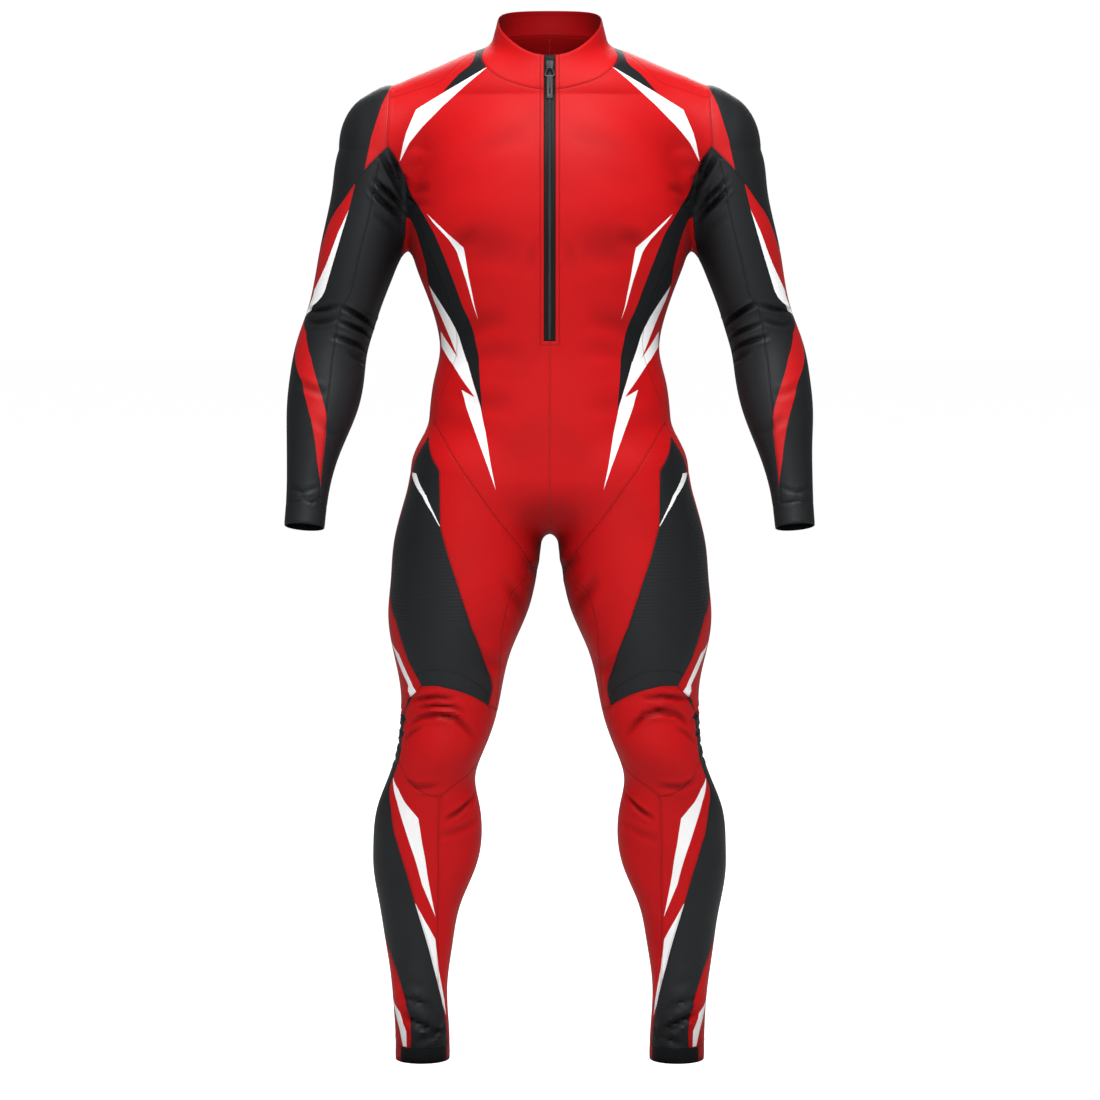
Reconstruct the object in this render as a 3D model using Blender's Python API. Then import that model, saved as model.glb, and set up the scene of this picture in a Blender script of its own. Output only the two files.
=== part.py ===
# Ski race suit: a hollow one-piece suit, standing as if worn, with nobody in it.
#
# Metres, +Z up. The suit faces -Y and the wearer's left is +X. The origin is at the base of the
# neck, between the shoulders that hold the suit up. "right" and "left" are the wearer's.
#
# The outer surface of the cloth is one smooth form: level sections of torso, arms and legs,
# melted together. A coarse cage of rings is smoothed, moved onto that form and cut along the
# seams. Each piece of cloth between seams then gets its own thickness and is its own object.

import bmesh
import bpy
import numpy as np
from mathutils import Matrix, Vector
from mathutils.geometry import tessellate_polygon

CLOTH = 0.0015              # thickness of the bonded stretch knit
SEAM_GAP = 0.0003           # clear gap between two pieces at a seam
SMOOTHING_LEVELS = 2        # each cage quad becomes 4 x 4 quads
SNAP_SHARE = 0.24           # a seam this near a free point, as a share of the edge, moves the point
PAST_SEAM = 15              # degrees that a strip goes past a seam that is already cut
SNAP_SEAM = 0.0025          # a seam this near a point of another seam ends in that point

NECK_SLOPE = 0.47           # rise of the neckline from front to back, per metre of depth
NECK_SIDE_HEIGHT = -0.018   # height of the neckline beside the neck
ZIP_WIDTH = 0.016
ZIP_END_HEIGHT = -0.412
TAPE_SUNK = 0.0004          # the zip tape lies this much below the cloth
TAPE_THICKNESS = 0.0011
CUFF_HEIGHT = 0.031
CUFF_END_HEIGHT = -0.6745   # middle of the sleeve's open end
HEM_HEIGHT = 0.022
HEM_END_HEIGHT = -1.452

SLIDER_START = 0.008        # below the top of the zip
SLIDER_LENGTH = 0.014
SLIDER_TOP_WIDTH = 0.0112
SLIDER_END_WIDTH = 0.0086
SLIDER_LIFT = 0.0003        # clear of the tape
SLIDER_PLATE = 0.0016
BRIDGE_WIDTH = 0.0022
BRIDGE_START = 0.0105
BRIDGE_LENGTH = 0.0112
BRIDGE_BAR = 0.0013
BRIDGE_WINDOW = 0.0028      # clear height under the bridge
PULL_PIVOT = 0.0192         # the pull tab's pin, below the top of the zip
PULL_THICKNESS = 0.0014
PULL_TOP_WIDTH = 0.0072
PULL_RING_WIDTH = 0.0150
PULL_RING_LENGTH = 0.0115
PULL_TAB_WIDTH = 0.0084
PULL_LENGTH = 0.0440        # from the pin to the free end
PULL_SLOT_START = 0.0290
PULL_SLOT_LENGTH = 0.0090
PULL_SLOT_WIDTH = 0.0020
PULL_CLEAR = 0.0006         # the free end hangs this far in front of the cloth

LEG_BLEND = 0.012
HIP_BLEND = 0.030
ARM_BLEND = 0.025
SHOULDER_BLEND = 0.035
NECK_BLEND = 0.014


def table(columns, *rows):
    """A short table with named columns, sorted by its first column."""
    data = np.array(sorted(rows), dtype=float)
    return {name: data[:, i] for i, name in enumerate(columns.split())}


def smooth(rows, column, where):
    """A column of a table along its first column, as a natural cubic curve, level past the ends."""
    place = next(iter(rows.values()))
    value = rows[column]
    count = len(place)
    step = np.diff(place)
    system = np.eye(count)
    right = np.zeros(count)
    for i in range(1, count - 1):
        system[i, i - 1:i + 2] = step[i - 1], 2 * (step[i - 1] + step[i]), step[i]
        right[i] = 6 * ((value[i + 1] - value[i]) / step[i] - (value[i] - value[i - 1]) / step[i - 1])
    bend = np.linalg.solve(system, right)
    where = np.clip(where, place[0], place[-1])
    i = np.clip(np.searchsorted(place, where) - 1, 0, count - 2)
    up = place[i + 1] - where
    down = where - place[i]
    width = step[i]
    curve = (bend[i] * up ** 3 + bend[i + 1] * down ** 3) / (6 * width)
    return curve + (value[i] / width - bend[i] * width / 6) * up + (
        value[i + 1] / width - bend[i + 1] * width / 6) * down


def straight(rows, column, where):
    """A column of a table along its first column, in straight runs."""
    return np.interp(where, next(iter(rows.values())), rows[column])


# ---- The form: level sections, half of the suit, with x counted away from the middle.

TORSO = table(
    "height half_width centre_y front back power",
    (-0.04, 0.150, 0.012, 0.085, 0.085, 2.2),
    (-0.09, 0.174, 0.008, 0.104, 0.098, 2.3),
    (-0.15, 0.188, 0.004, 0.120, 0.108, 2.4),
    (-0.22, 0.197, 0.000, 0.126, 0.112, 2.4),
    (-0.285, 0.196, 0.000, 0.122, 0.106, 2.4),
    (-0.342, 0.1765, 0.000, 0.114, 0.097, 2.3),
    (-0.39, 0.161, 0.000, 0.107, 0.090, 2.2),
    (-0.43, 0.1555, 0.000, 0.103, 0.087, 2.2),
    (-0.47, 0.1645, 0.000, 0.102, 0.089, 2.2),
    (-0.51, 0.1705, 0.000, 0.103, 0.096, 2.2),
    (-0.55, 0.173, 0.000, 0.104, 0.107, 2.2),
    (-0.60, 0.176, 0.000, 0.102, 0.111, 2.2))
TORSO_TOP = (-0.07, 0.07)
TORSO_BOTTOM = (-0.60, 0.085)

LEG = table(
    "height centre_x half_width centre_y front back power",
    (-0.56, 0.100, 0.0845, 0.000, 0.094, 0.100, 2.1),
    (-0.62, 0.1065, 0.0945, 0.000, 0.098, 0.105, 2.1),
    (-0.70, 0.1165, 0.1050, 0.000, 0.098, 0.101, 2.1),
    (-0.755, 0.1235, 0.1035, 0.000, 0.098, 0.097, 2.1),
    (-0.80, 0.131, 0.0997, -0.001, 0.094, 0.090, 2.1),
    (-0.855, 0.139, 0.0848, -0.003, 0.085, 0.080, 2.1),
    (-0.912, 0.1411, 0.0720, -0.005, 0.073, 0.068, 2.1),
    (-0.955, 0.1457, 0.0675, -0.007, 0.069, 0.060, 2.1),
    (-0.9975, 0.1556, 0.0625, -0.006, 0.068, 0.056, 2.1),
    (-1.04, 0.1690, 0.0625, 0.002, 0.060, 0.056, 2.1),
    (-1.083, 0.1738, 0.0735, 0.010, 0.056, 0.063, 2.1),
    (-1.14, 0.1765, 0.0780, 0.020, 0.056, 0.068, 2.1),
    (-1.17, 0.1800, 0.0745, 0.022, 0.055, 0.066, 2.1),
    (-1.2255, 0.1870, 0.0592, 0.024, 0.050, 0.056, 2.1),
    (-1.2825, 0.1885, 0.0487, 0.023, 0.043, 0.046, 2.1),
    (-1.34, 0.1885, 0.0405, 0.021, 0.039, 0.041, 2.1),
    (-1.40, 0.1850, 0.0392, 0.019, 0.039, 0.041, 2.1),
    (-1.45, 0.1840, 0.0395, 0.018, 0.039, 0.041, 2.1))
LEG_TOP = (-0.60, 0.07)

ARM = table(
    "height centre_x half_width centre_y front back power",
    (-0.10, 0.215, 0.058, 0.004, 0.060, 0.060, 2.0),
    (-0.15, 0.239, 0.061, 0.004, 0.062, 0.062, 2.0),
    (-0.20, 0.2485, 0.0590, 0.005, 0.062, 0.062, 2.0),
    (-0.285, 0.267, 0.0590, 0.007, 0.060, 0.060, 2.0),
    (-0.342, 0.2825, 0.0533, 0.010, 0.055, 0.055, 2.0),
    (-0.37, 0.2914, 0.0516, 0.012, 0.052, 0.052, 2.0),
    (-0.40, 0.3020, 0.0523, 0.012, 0.050, 0.050, 2.0),
    (-0.43, 0.3110, 0.0525, 0.008, 0.050, 0.050, 2.0),
    (-0.47, 0.3165, 0.0530, -0.002, 0.050, 0.050, 2.0),
    (-0.513, 0.3225, 0.0500, -0.014, 0.047, 0.047, 2.0),
    (-0.57, 0.3330, 0.0385, -0.030, 0.037, 0.037, 2.0),
    (-0.627, 0.3415, 0.0300, -0.046, 0.029, 0.029, 2.0),
    (-0.70, 0.3470, 0.0285, -0.066, 0.0275, 0.0275, 2.0))
ARM_TOP = (-0.145, 0.080)

# The shoulder bar runs across, so its sections are upright and counted from the middle out.
SHOULDER = table(
    "reach height half_height centre_y half_depth",
    (0.00, -0.050, 0.055, 0.024, 0.070),
    (0.06, -0.055, 0.055, 0.022, 0.072),
    (0.10, -0.067, 0.058, 0.018, 0.072),
    (0.15, -0.090, 0.060, 0.012, 0.068),
    (0.20, -0.107, 0.060, 0.006, 0.062),
    (0.24, -0.130, 0.058, 0.004, 0.055))
SHOULDER_END = (0.22, 0.035)

# Neck sections lie in the sloping plane of the neckline, and height is counted from it.
NECK = table(
    "height half_width centre_y half_depth",
    (-0.06, 0.106, 0.000, 0.100),
    (-0.02, 0.0925, -0.002, 0.087),
    (0.00, 0.0860, -0.003, 0.080),
    (0.02, 0.0820, -0.003, 0.076),
    (0.046, 0.0755, -0.003, 0.070),
    (0.10, 0.070, -0.003, 0.064))
NECK_BOTTOM = -0.10


def neck_height(points):
    """Height over the sloping plane of the neckline."""
    return points[:, 2] - NECK_SIDE_HEIGHT - NECK_SLOPE * points[:, 1]


def swell(distance, end):
    """How far points lie past the rounded end of a tube, in end lengths."""
    return np.maximum(distance, 0) / end


def tube(rows, across, points, top=None, bottom=None):
    """A tube of level sections: near its surface, the distance to it, less than 0 inside."""
    height = points[:, 2]
    level = height
    if top:
        level = np.minimum(level, top[0])
    if bottom:
        level = np.maximum(level, bottom[0])
    half = smooth(rows, "half_width", level)
    deep = points[:, 1] - smooth(rows, "centre_y", level)
    depth = np.where(deep < 0, smooth(rows, "front", level), smooth(rows, "back", level))
    power = smooth(rows, "power", level)
    if "centre_x" in rows:
        across = across - smooth(rows, "centre_x", level)
    size = (np.abs(across / half) ** power + np.abs(deep / depth) ** power) ** (1 / power)
    if top:
        size = np.hypot(size, swell(height - top[0], top[1]))
    if bottom:
        size = np.hypot(size, swell(bottom[0] - height, bottom[1]))
    return (size - 1) * np.sqrt(half * depth)


def shoulder_bar(across, points):
    """The bar from shoulder to shoulder."""
    reach = np.minimum(across, SHOULDER_END[0])
    half = smooth(SHOULDER, "half_height", reach)
    depth = smooth(SHOULDER, "half_depth", reach)
    up = (points[:, 2] - smooth(SHOULDER, "height", reach)) / half
    deep = (points[:, 1] - smooth(SHOULDER, "centre_y", reach)) / depth
    size = np.sqrt(up ** 2 + deep ** 2 + swell(across - SHOULDER_END[0], SHOULDER_END[1]) ** 2)
    return (size - 1) * np.sqrt(half * depth)


def neck_tube(points):
    """The neck, open at the top."""
    level = neck_height(points)
    half = smooth(NECK, "half_width", level)
    deep = (points[:, 1] - smooth(NECK, "centre_y", level)) / smooth(NECK, "half_depth", level)
    return np.maximum((np.hypot(points[:, 0] / half, deep) - 1) * half, NECK_BOTTOM - level)


def melt(first, second, width):
    """The union of two forms with a soft fillet between them."""
    share = np.clip(0.5 + 0.5 * (second - first) / width, 0, 1)
    return second * (1 - share) + first * share - width * share * (1 - share)


def form(points):
    """Distance to the cloth's outer surface near it, less than 0 inside."""
    across = np.abs(points[:, 0])
    torso = tube(TORSO, points[:, 0], points, TORSO_TOP, TORSO_BOTTOM)
    torso = melt(torso, shoulder_bar(across, points), SHOULDER_BLEND)
    torso = melt(torso, tube(ARM, across, points, ARM_TOP), ARM_BLEND)
    legs = melt(tube(LEG, points[:, 0], points, LEG_TOP), tube(LEG, -points[:, 0], points, LEG_TOP), LEG_BLEND)
    return melt(melt(torso, legs, HIP_BLEND), neck_tube(points), NECK_BLEND)


def slope(points, step=0.0005):
    """The form's gradient."""
    columns = []
    for axis in np.eye(3) * step:
        columns.append((form(points + axis) - form(points - axis)) / (2 * step))
    return np.stack(columns, axis=1)


def onto_form(points, rounds=12):
    """The points moved along the gradient until they lie on the form."""
    points = np.array(points, dtype=float)
    for _ in range(rounds):
        away = slope(points)
        reach = form(points) / np.maximum((away ** 2).sum(axis=1), 0.2)
        points -= np.clip(reach, -0.02, 0.02)[:, None] * away
    return points


def normals(points):
    away = slope(points)
    return away / np.linalg.norm(away, axis=1, keepdims=True)


# ---- The cage: rings on the wearer's right half, coarse enough to read.

# Heights of the front middle, side and back middle, and how far the ring reaches each way.
TORSO_RINGS = (
    (0.030, 0.062, 0.096, 0.056, 0.062, 0.058),
    (-0.052, -0.022, 0.015, 0.072, 0.080, 0.076),
    (-0.140, -0.072, -0.090, 0.214, 0.115, 0.105),
    (-0.270, -0.275, -0.270, 0.176, 0.124, 0.108),
    (-0.360, -0.360, -0.360, 0.140, 0.110, 0.094),
    (-0.440, -0.440, -0.440, 0.126, 0.102, 0.088),
    (-0.510, -0.510, -0.510, 0.138, 0.103, 0.097),
    (-0.580, -0.565, -0.590, 0.148, 0.102, 0.114))
RING_SIDE_SHARE = 0.60      # depth of the side points, as a share of the ring's
CROTCH = ((0.0, -0.060, -0.668), (-0.160, -0.070, -0.640), (-0.160, 0.080, -0.650), (0.0, 0.075, -0.676),
          (0.0, 0.010, -0.690))
LEG_RING_HEIGHTS = (-0.76, -0.885, -1.005, -1.12, -1.275, -1.475)
LEG_RING_ANGLES = (288, 216, 144, 72, 0)     # from the inner side: front, outer front, outer back, back
ARM_RING_HEIGHTS = ((-0.135, -0.305), (-0.235, -0.360), (-0.345, -0.415), (-0.465, -0.485),
                    (-0.590, -0.580), (-0.715, -0.700))
ARM_CORNER = 0.72           # a four-sided ring's corners, as a share of the section's half width


def torso_ring(front, side, back, side_reach, front_reach, back_reach):
    """Middle front, side front, side back and middle back."""
    return [(0.0, -front_reach, front), (-side_reach, -RING_SIDE_SHARE * front_reach, side),
            (-side_reach, RING_SIDE_SHARE * back_reach, side), (0.0, back_reach, back)]


def leg_ring(height):
    """Five points round the right leg."""
    middle = smooth(LEG, "centre_x", height)
    half = smooth(LEG, "half_width", height)
    depth = 0.5 * (smooth(LEG, "front", height) + smooth(LEG, "back", height))
    points = []
    for angle in np.radians(LEG_RING_ANGLES):
        across = -middle + half * np.cos(angle)
        points.append((across, smooth(LEG, "centre_y", height) + depth * np.sin(angle), height))
    return points


def arm_ring(outer, inner):
    """Outer front, outer back, inner back and inner front of the right arm."""
    points = []
    for height, side, face in ((outer, 1, -1), (outer, 1, 1), (inner, -1, 1), (inner, -1, -1)):
        across = smooth(ARM, "centre_x", height) + side * ARM_CORNER * smooth(ARM, "half_width", height)
        deep = smooth(ARM, "centre_y", height) + face * ARM_CORNER * smooth(ARM, "front", height)
        points.append((-across, deep, height))
    return points


def bridge(cage, first, second, closed, skip=None):
    """Quads between two rings of the same number of points."""
    count = len(first)
    for i in range(count if closed else count - 1):
        if i != skip:
            j = (i + 1) % count
            cage.faces.new((first[i], first[j], second[j], second[i]))


def half_cage():
    """The cage of the right half: torso rings, the leg's rings and the arm's rings."""
    cage = bmesh.new()
    torso = [[cage.verts.new(p) for p in torso_ring(*row)] for row in TORSO_RINGS]
    crotch = [cage.verts.new(p) for p in CROTCH]
    legs = [crotch] + [[cage.verts.new(p) for p in leg_ring(h)] for h in LEG_RING_HEIGHTS]
    shoulder, armpit = torso[2], torso[3]
    armhole = [shoulder[1], shoulder[2], armpit[2], armpit[1]]
    arms = [armhole] + [[cage.verts.new(p) for p in arm_ring(*row)] for row in ARM_RING_HEIGHTS]
    for upper, lower in zip(torso, torso[1:]):
        bridge(cage, upper, lower, False, skip=1 if upper is shoulder else None)
    bridge(cage, torso[-1], crotch[:4], False)
    for upper, lower in zip(legs, legs[1:]):
        bridge(cage, upper, lower, True)
    for upper, lower in zip(arms, arms[1:]):
        bridge(cage, upper, lower, True)
    bmesh.ops.recalc_face_normals(cage, faces=cage.faces)
    return cage


def smoothed_half():
    """The cage smoothed by subdivision and moved onto the form."""
    cage = half_cage()
    mesh = bpy.data.meshes.new("cage")
    cage.to_mesh(mesh)
    cage.free()
    shape = bpy.data.objects.new("cage", mesh)
    bpy.context.collection.objects.link(shape)
    modifier = shape.modifiers.new("smooth", "SUBSURF")
    modifier.levels = SMOOTHING_LEVELS
    modifier.render_levels = SMOOTHING_LEVELS
    modifier.boundary_smooth = "PRESERVE_CORNERS"
    bpy.context.view_layer.update()
    fine = bmesh.new()
    fine.from_object(shape, bpy.context.evaluated_depsgraph_get())
    bpy.data.objects.remove(shape)
    bpy.data.meshes.remove(mesh)
    move_onto_form(fine.verts)
    points = np.array([f.calc_center_median() for f in fine.faces])
    outward = (np.array([f.normal for f in fine.faces]) * slope(points)).sum()
    if outward < 0:
        bmesh.ops.reverse_faces(fine, faces=fine.faces)
    return fine


def move_onto_form(vertices):
    """Vertices on the middle plane stay on it."""
    vertices = list(vertices)
    if not vertices:
        return
    points = np.array([v.co for v in vertices])
    middle = np.abs(points[:, 0]) < 1e-6
    points = onto_form(points)
    points[middle, 0] = 0.0
    for vertex, point in zip(vertices, points):
        vertex.co = point


# ---- Seams: each is a function that is 0 on the seam, from a short table.

ARMHOLE = table(
    "height reach",
    (0.10, 0.221), (-0.047, 0.221), (-0.067, 0.2245), (-0.138, 0.2275), (-0.164, 0.2115), (-0.187, 0.202),
    (-0.230, 0.201), (-0.270, 0.204), (-0.340, 0.220), (-0.45, 0.245), (-0.60, 0.275), (-0.72, 0.30),
    (-0.76, 0.60), (-1.6, 0.60))
# Side views of the collar: heights of its seam and of its top edge, from front to back.
NECKLINE = table(
    "depth height",
    (-0.12, -0.100), (-0.0882, -0.0637), (-0.0829, -0.0560), (-0.0747, -0.0450), (-0.0582, -0.0290),
    (-0.012, -0.0050), (0.030, 0.0080), (0.075, 0.0180), (0.12, 0.022))
COLLAR_TOP = table(
    "depth height",
    (-0.10, -0.038), (-0.0742, -0.0156), (-0.0546, 0.0025), (-0.025, 0.0235), (0.020, 0.0435), (0.066, 0.0525),
    (0.10, 0.056))
SHOULDER_SEAM = table(
    "reach depth",
    (0.0, -0.020), (0.11, -0.020), (0.127, -0.036), (0.145, -0.046), (0.173, -0.044), (0.23, -0.038))
SHOULDER_SEAM_END = -0.16   # below this height the front meets the back along the side seam
SIDE_SEAM = table(
    "height depth",
    (-0.16, -0.020), (-0.20, -0.028), (-0.23, -0.052), (-0.258, -0.0655), (-0.343, -0.071), (-0.398, -0.064),
    (-0.455, -0.056), (-0.492, -0.047), (-0.524, -0.038), (-0.55, -0.038), (-0.60, -0.026), (-0.68, -0.014),
    (-0.77, -0.013))
INSEAM_TOP = -0.62
INSEAM_DEPTH = 0.010
HIP_SEAM = table(
    "reach height",
    (0.0, -0.756), (0.012, -0.748), (0.0236, -0.7332), (0.0362, -0.710), (0.060, -0.678), (0.093, -0.634),
    (0.128, -0.585), (0.141, -0.565), (0.165, -0.524), (0.24, -0.40))
SEAT_SEAM = table(
    "reach height",
    (0.0, -0.758), (0.012, -0.749), (0.030, -0.738), (0.07, -0.720), (0.12, -0.690), (0.165, -0.645),
    (0.194, -0.598), (0.24, -0.54))
LEG_SPLIT_HEIGHT = -0.766   # just below the seams between trunk and leg
SLEEVE_CAP_SEAM = table(
    "reach height",
    (0.20, -0.116), (0.227, -0.143), (0.259, -0.175), (0.273, -0.193), (0.294, -0.222), (0.3105, -0.247),
    (0.3214, -0.274), (0.328, -0.291), (0.36, -0.33))
FOREARM = np.array((0.075, -0.275, -0.958))     # direction of the right arm's last stretch, x outward


def right_side(points):
    """The same points with x counted outward from the middle."""
    return np.column_stack([np.abs(points[:, 0]), points[:, 1], points[:, 2]])


def angle_round(rows, points):
    """Degrees round a limb of the right side: 0 in front, 90 at the outer side, -90 at the inner side."""
    middle_x = smooth(rows, "centre_x", points[:, 2])
    middle_y = smooth(rows, "centre_y", points[:, 2])
    return np.degrees(np.arctan2(np.abs(points[:, 0]) - middle_x, middle_y - points[:, 1]))


def over_neckline(points):
    return points[:, 2] - smooth(NECKLINE, "height", points[:, 1])


def over_collar(points):
    return points[:, 2] - smooth(COLLAR_TOP, "height", points[:, 1])


def armhole(points):
    return np.abs(points[:, 0]) - straight(ARMHOLE, "reach", points[:, 2])


def front_or_back(points):
    """Less than 0 on the front: along the shoulder seam, the side seam and, inside the legs, the inseam."""
    across = np.abs(points[:, 0])
    upper = smooth(SHOULDER_SEAM, "depth", across)
    lower = smooth(SIDE_SEAM, "depth", points[:, 2])
    inside = (points[:, 2] < INSEAM_TOP) & (across < smooth(LEG, "centre_x", points[:, 2]))
    lower = np.where(inside, INSEAM_DEPTH, lower)
    return points[:, 1] - np.where(points[:, 2] > SHOULDER_SEAM_END, upper, lower)


def height_over(rows):
    """Height over a seam that a front view gives as height by distance from the middle."""
    return lambda points: points[:, 2] - smooth(rows, "height", np.abs(points[:, 0]))


def over_round(limb, rows):
    """Height over a crosswise seam that a table gives by the angle round the limb."""
    return lambda points: points[:, 2] - straight(rows, "height", angle_round(limb, points))


def along_forearm(points):
    """Distance along the forearm past the middle of the sleeve's open end."""
    end = np.array((smooth(ARM, "centre_x", CUFF_END_HEIGHT), smooth(ARM, "centre_y", CUFF_END_HEIGHT),
                    CUFF_END_HEIGHT))
    return (right_side(points) - end) @ FOREARM


# Angles round a limb by height, for the seams that run along it.
SLEEVE_FRONT = table(
    "height angle",
    (-0.14, -5), (-0.20, -3), (-0.299, -2), (-0.348, -5), (-0.3675, 3), (-0.389, 1), (-0.428, -8),
    (-0.504, -10), (-0.552, -20), (-0.594, -31), (-0.64, -42))
SLEEVE_BACK = table("height angle", (-0.14, -165), (-0.64, -165))
THIGH_PANEL_FRONT = table(
    "height angle",
    (-0.550, 60), (-0.593, 32), (-0.629, 28), (-0.672, 24), (-0.722, 12), (-0.770, -1), (-0.812, -14),
    (-0.862, -34), (-0.905, -54), (-0.93, -52), (-0.96, -52))
THIGH_PANEL_SIDE = table(
    "height angle",
    (-0.54, 100), (-0.62, 92), (-0.68, 92), (-0.766, 84), (-0.807, 61), (-0.863, 46), (-0.899, 32),
    (-0.93, 26))
THIGH_INNER_FRONT = table(
    "height angle",
    (-0.72, -76), (-0.733, -68), (-0.7617, -49), (-0.788, -43), (-0.8285, -47), (-0.88, -60), (-0.95, -74))
THIGH_INNER_BACK = table("height angle", (-0.70, -104), (-0.766, -98), (-1.0, -100))
KNEE_TOP = table(
    "angle height",
    (-180, -0.962), (-120, -0.955), (-70, -0.938), (-52, -0.930), (-25, -0.913), (-9, -0.905), (13, -0.898),
    (31, -0.899), (45, -0.9133), (56, -0.9206), (63, -0.940), (90, -0.952), (180, -0.962))
LOWER_SIDE = table(
    "height angle",
    (-0.89, 26), (-0.899, 32), (-0.913, 45), (-0.940, 63), (-0.980, 65), (-1.009, 60), (-1.050, 65),
    (-1.079, 54), (-1.116, 46), (-1.154, 33), (-1.174, 25), (-1.218, 7), (-1.2605, -10), (-1.311, -31),
    (-1.3565, -52), (-1.393, -65), (-1.46, -72))
LOWER_INNER = table("height angle", (-0.90, -100), (-1.46, -112))
KNEE_BOTTOM = table(
    "angle height",
    (-180, -1.00), (-100, -1.008), (-71, -1.0153), (-38, -1.0405), (-16, -1.060), (-2, -1.0584), (19, -1.048),
    (38, -1.0316), (49, -1.0164), (70, -1.005), (180, -1.00))
SHIN_SEAM = table(
    "height angle", (-1.05, -16), (-1.139, -17), (-1.213, -29), (-1.303, -42), (-1.46, -60))
CALF_REAR = table(
    "height angle",
    (-1.00, 262), (-1.045, 228), (-1.10, 200), (-1.17, 165), (-1.23, 118), (-1.277, 77), (-1.309, 55),
    (-1.343, 37), (-1.38, 24), (-1.40, 21), (-1.46, 26))


def strip(limb, start, end, before=0, after=0):
    """Less than 0 in the strip of a limb between two lengthwise seams, in metres round the limb.

    An end that is already cut goes some degrees past that seam, so that it isn't cut twice.
    """
    def value(points):
        first = straight(start, "angle", points[:, 2]) - before
        last = straight(end, "angle", points[:, 2]) + after
        turn = (angle_round(limb, points) - (first + last) / 2 + 180) % 360 - 180
        return np.radians(np.abs(turn) - (last - first) / 2) * smooth(limb, "half_width", points[:, 2])
    return value


# ---- Cutting.

def values_at(vertices, seam):
    return dict(zip(vertices, seam(np.array([v.co for v in vertices]))))


def snap_to_seam(vertices, value, seam_mark):
    """Free points that the seam nearly meets move onto it, and seam points near it count as on it."""
    best = {}
    for edge in {e for v in vertices for e in v.link_edges}:
        first, second = edge.verts
        if first not in value or second not in value or value[first] * value[second] >= 0:
            continue
        share = value[first] / (value[first] - value[second])
        for vertex, other, part in ((first, second, share), (second, first, 1 - share)):
            on_middle = abs(vertex.co.x) < 1e-6
            if on_middle and abs(other.co.x) > 1e-6:
                near = part * edge.calc_length() < SNAP_SEAM
                target = None
            elif vertex[seam_mark]:
                near = part * edge.calc_length() < SNAP_SEAM
                target = None
            else:
                near = part < SNAP_SHARE
                target = vertex.co.lerp(other.co, part)
            if near and (vertex not in best or part < best[vertex][0]):
                best[vertex] = (part, target)
    moved = []
    for vertex, (_, target) in best.items():
        value[vertex] = 0.0
        if target is not None:
            vertex.co = target
            moved.append(vertex)
    move_onto_form(moved)


def split_edges(faces, value):
    """New points where the seam crosses edges."""
    made = []
    for edge in {e for f in faces for e in f.edges}:
        first, second = edge.verts
        if value[first] * value[second] >= 0:
            continue
        share = value[first] / (value[first] - value[second])
        _, vertex = bmesh.utils.edge_split(edge, first, share)
        made.append(vertex)
    for vertex in made:
        value[vertex] = 0.0
    move_onto_form(made)


def split_face(face, value):
    """The face cut from one seam point to another that has the seam's other side between them."""
    loop = list(face.verts)
    count = len(loop)
    zeros = [i for i in range(count) if value[loop[i]] == 0]
    for a in zeros:
        for b in zeros:
            if b - a < 2 or (a == 0 and b == count - 1):
                continue
            inside = [value[loop[i]] for i in range(a + 1, b)]
            outside = [value[loop[i % count]] for i in range(b + 1, a + count)]
            if sum(inside) * sum(outside) < 0:
                new, _ = bmesh.utils.face_split(face, loop[a], loop[b])
                return new
    return None


def cut(suit, region, seam, below, above):
    """One region cut in two along a seam, with the parts where it is less and more than 0 named."""
    mark = suit.verts.layers.int["seam"]
    faces = [f for f in suit.faces if f.material_index == REGIONS.index(region)]
    vertices = list({v for f in faces for v in f.verts})
    value = values_at(vertices, seam)
    snap_to_seam(vertices, value, mark)
    split_edges(faces, value)
    waiting = list(faces)
    done = []
    while waiting:
        face = waiting.pop()
        new = split_face(face, value)
        if new is None:
            done.append(face)
        else:
            waiting += [face, new]
    for face in done:
        total = sum(value[v] for v in face.verts)
        name = below if total < 0 else above
        if name not in REGIONS:
            REGIONS.append(name)
        face.material_index = REGIONS.index(name)
    for vertex, at in value.items():
        if at == 0:
            vertex[mark] = 1


REGIONS = ["suit"]


def rename(suit, region, name):
    """A region joined to another one."""
    if name not in REGIONS:
        REGIONS.append(name)
    for face in suit.faces:
        if face.material_index == REGIONS.index(region):
            face.material_index = REGIONS.index(name)


def zip_slot(points):
    """Less than 0 in the slot of the zip, on the front only."""
    return np.where(points[:, 1] < 0, np.abs(points[:, 0]) - ZIP_WIDTH / 2, np.abs(points[:, 1]) + ZIP_WIDTH)


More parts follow.
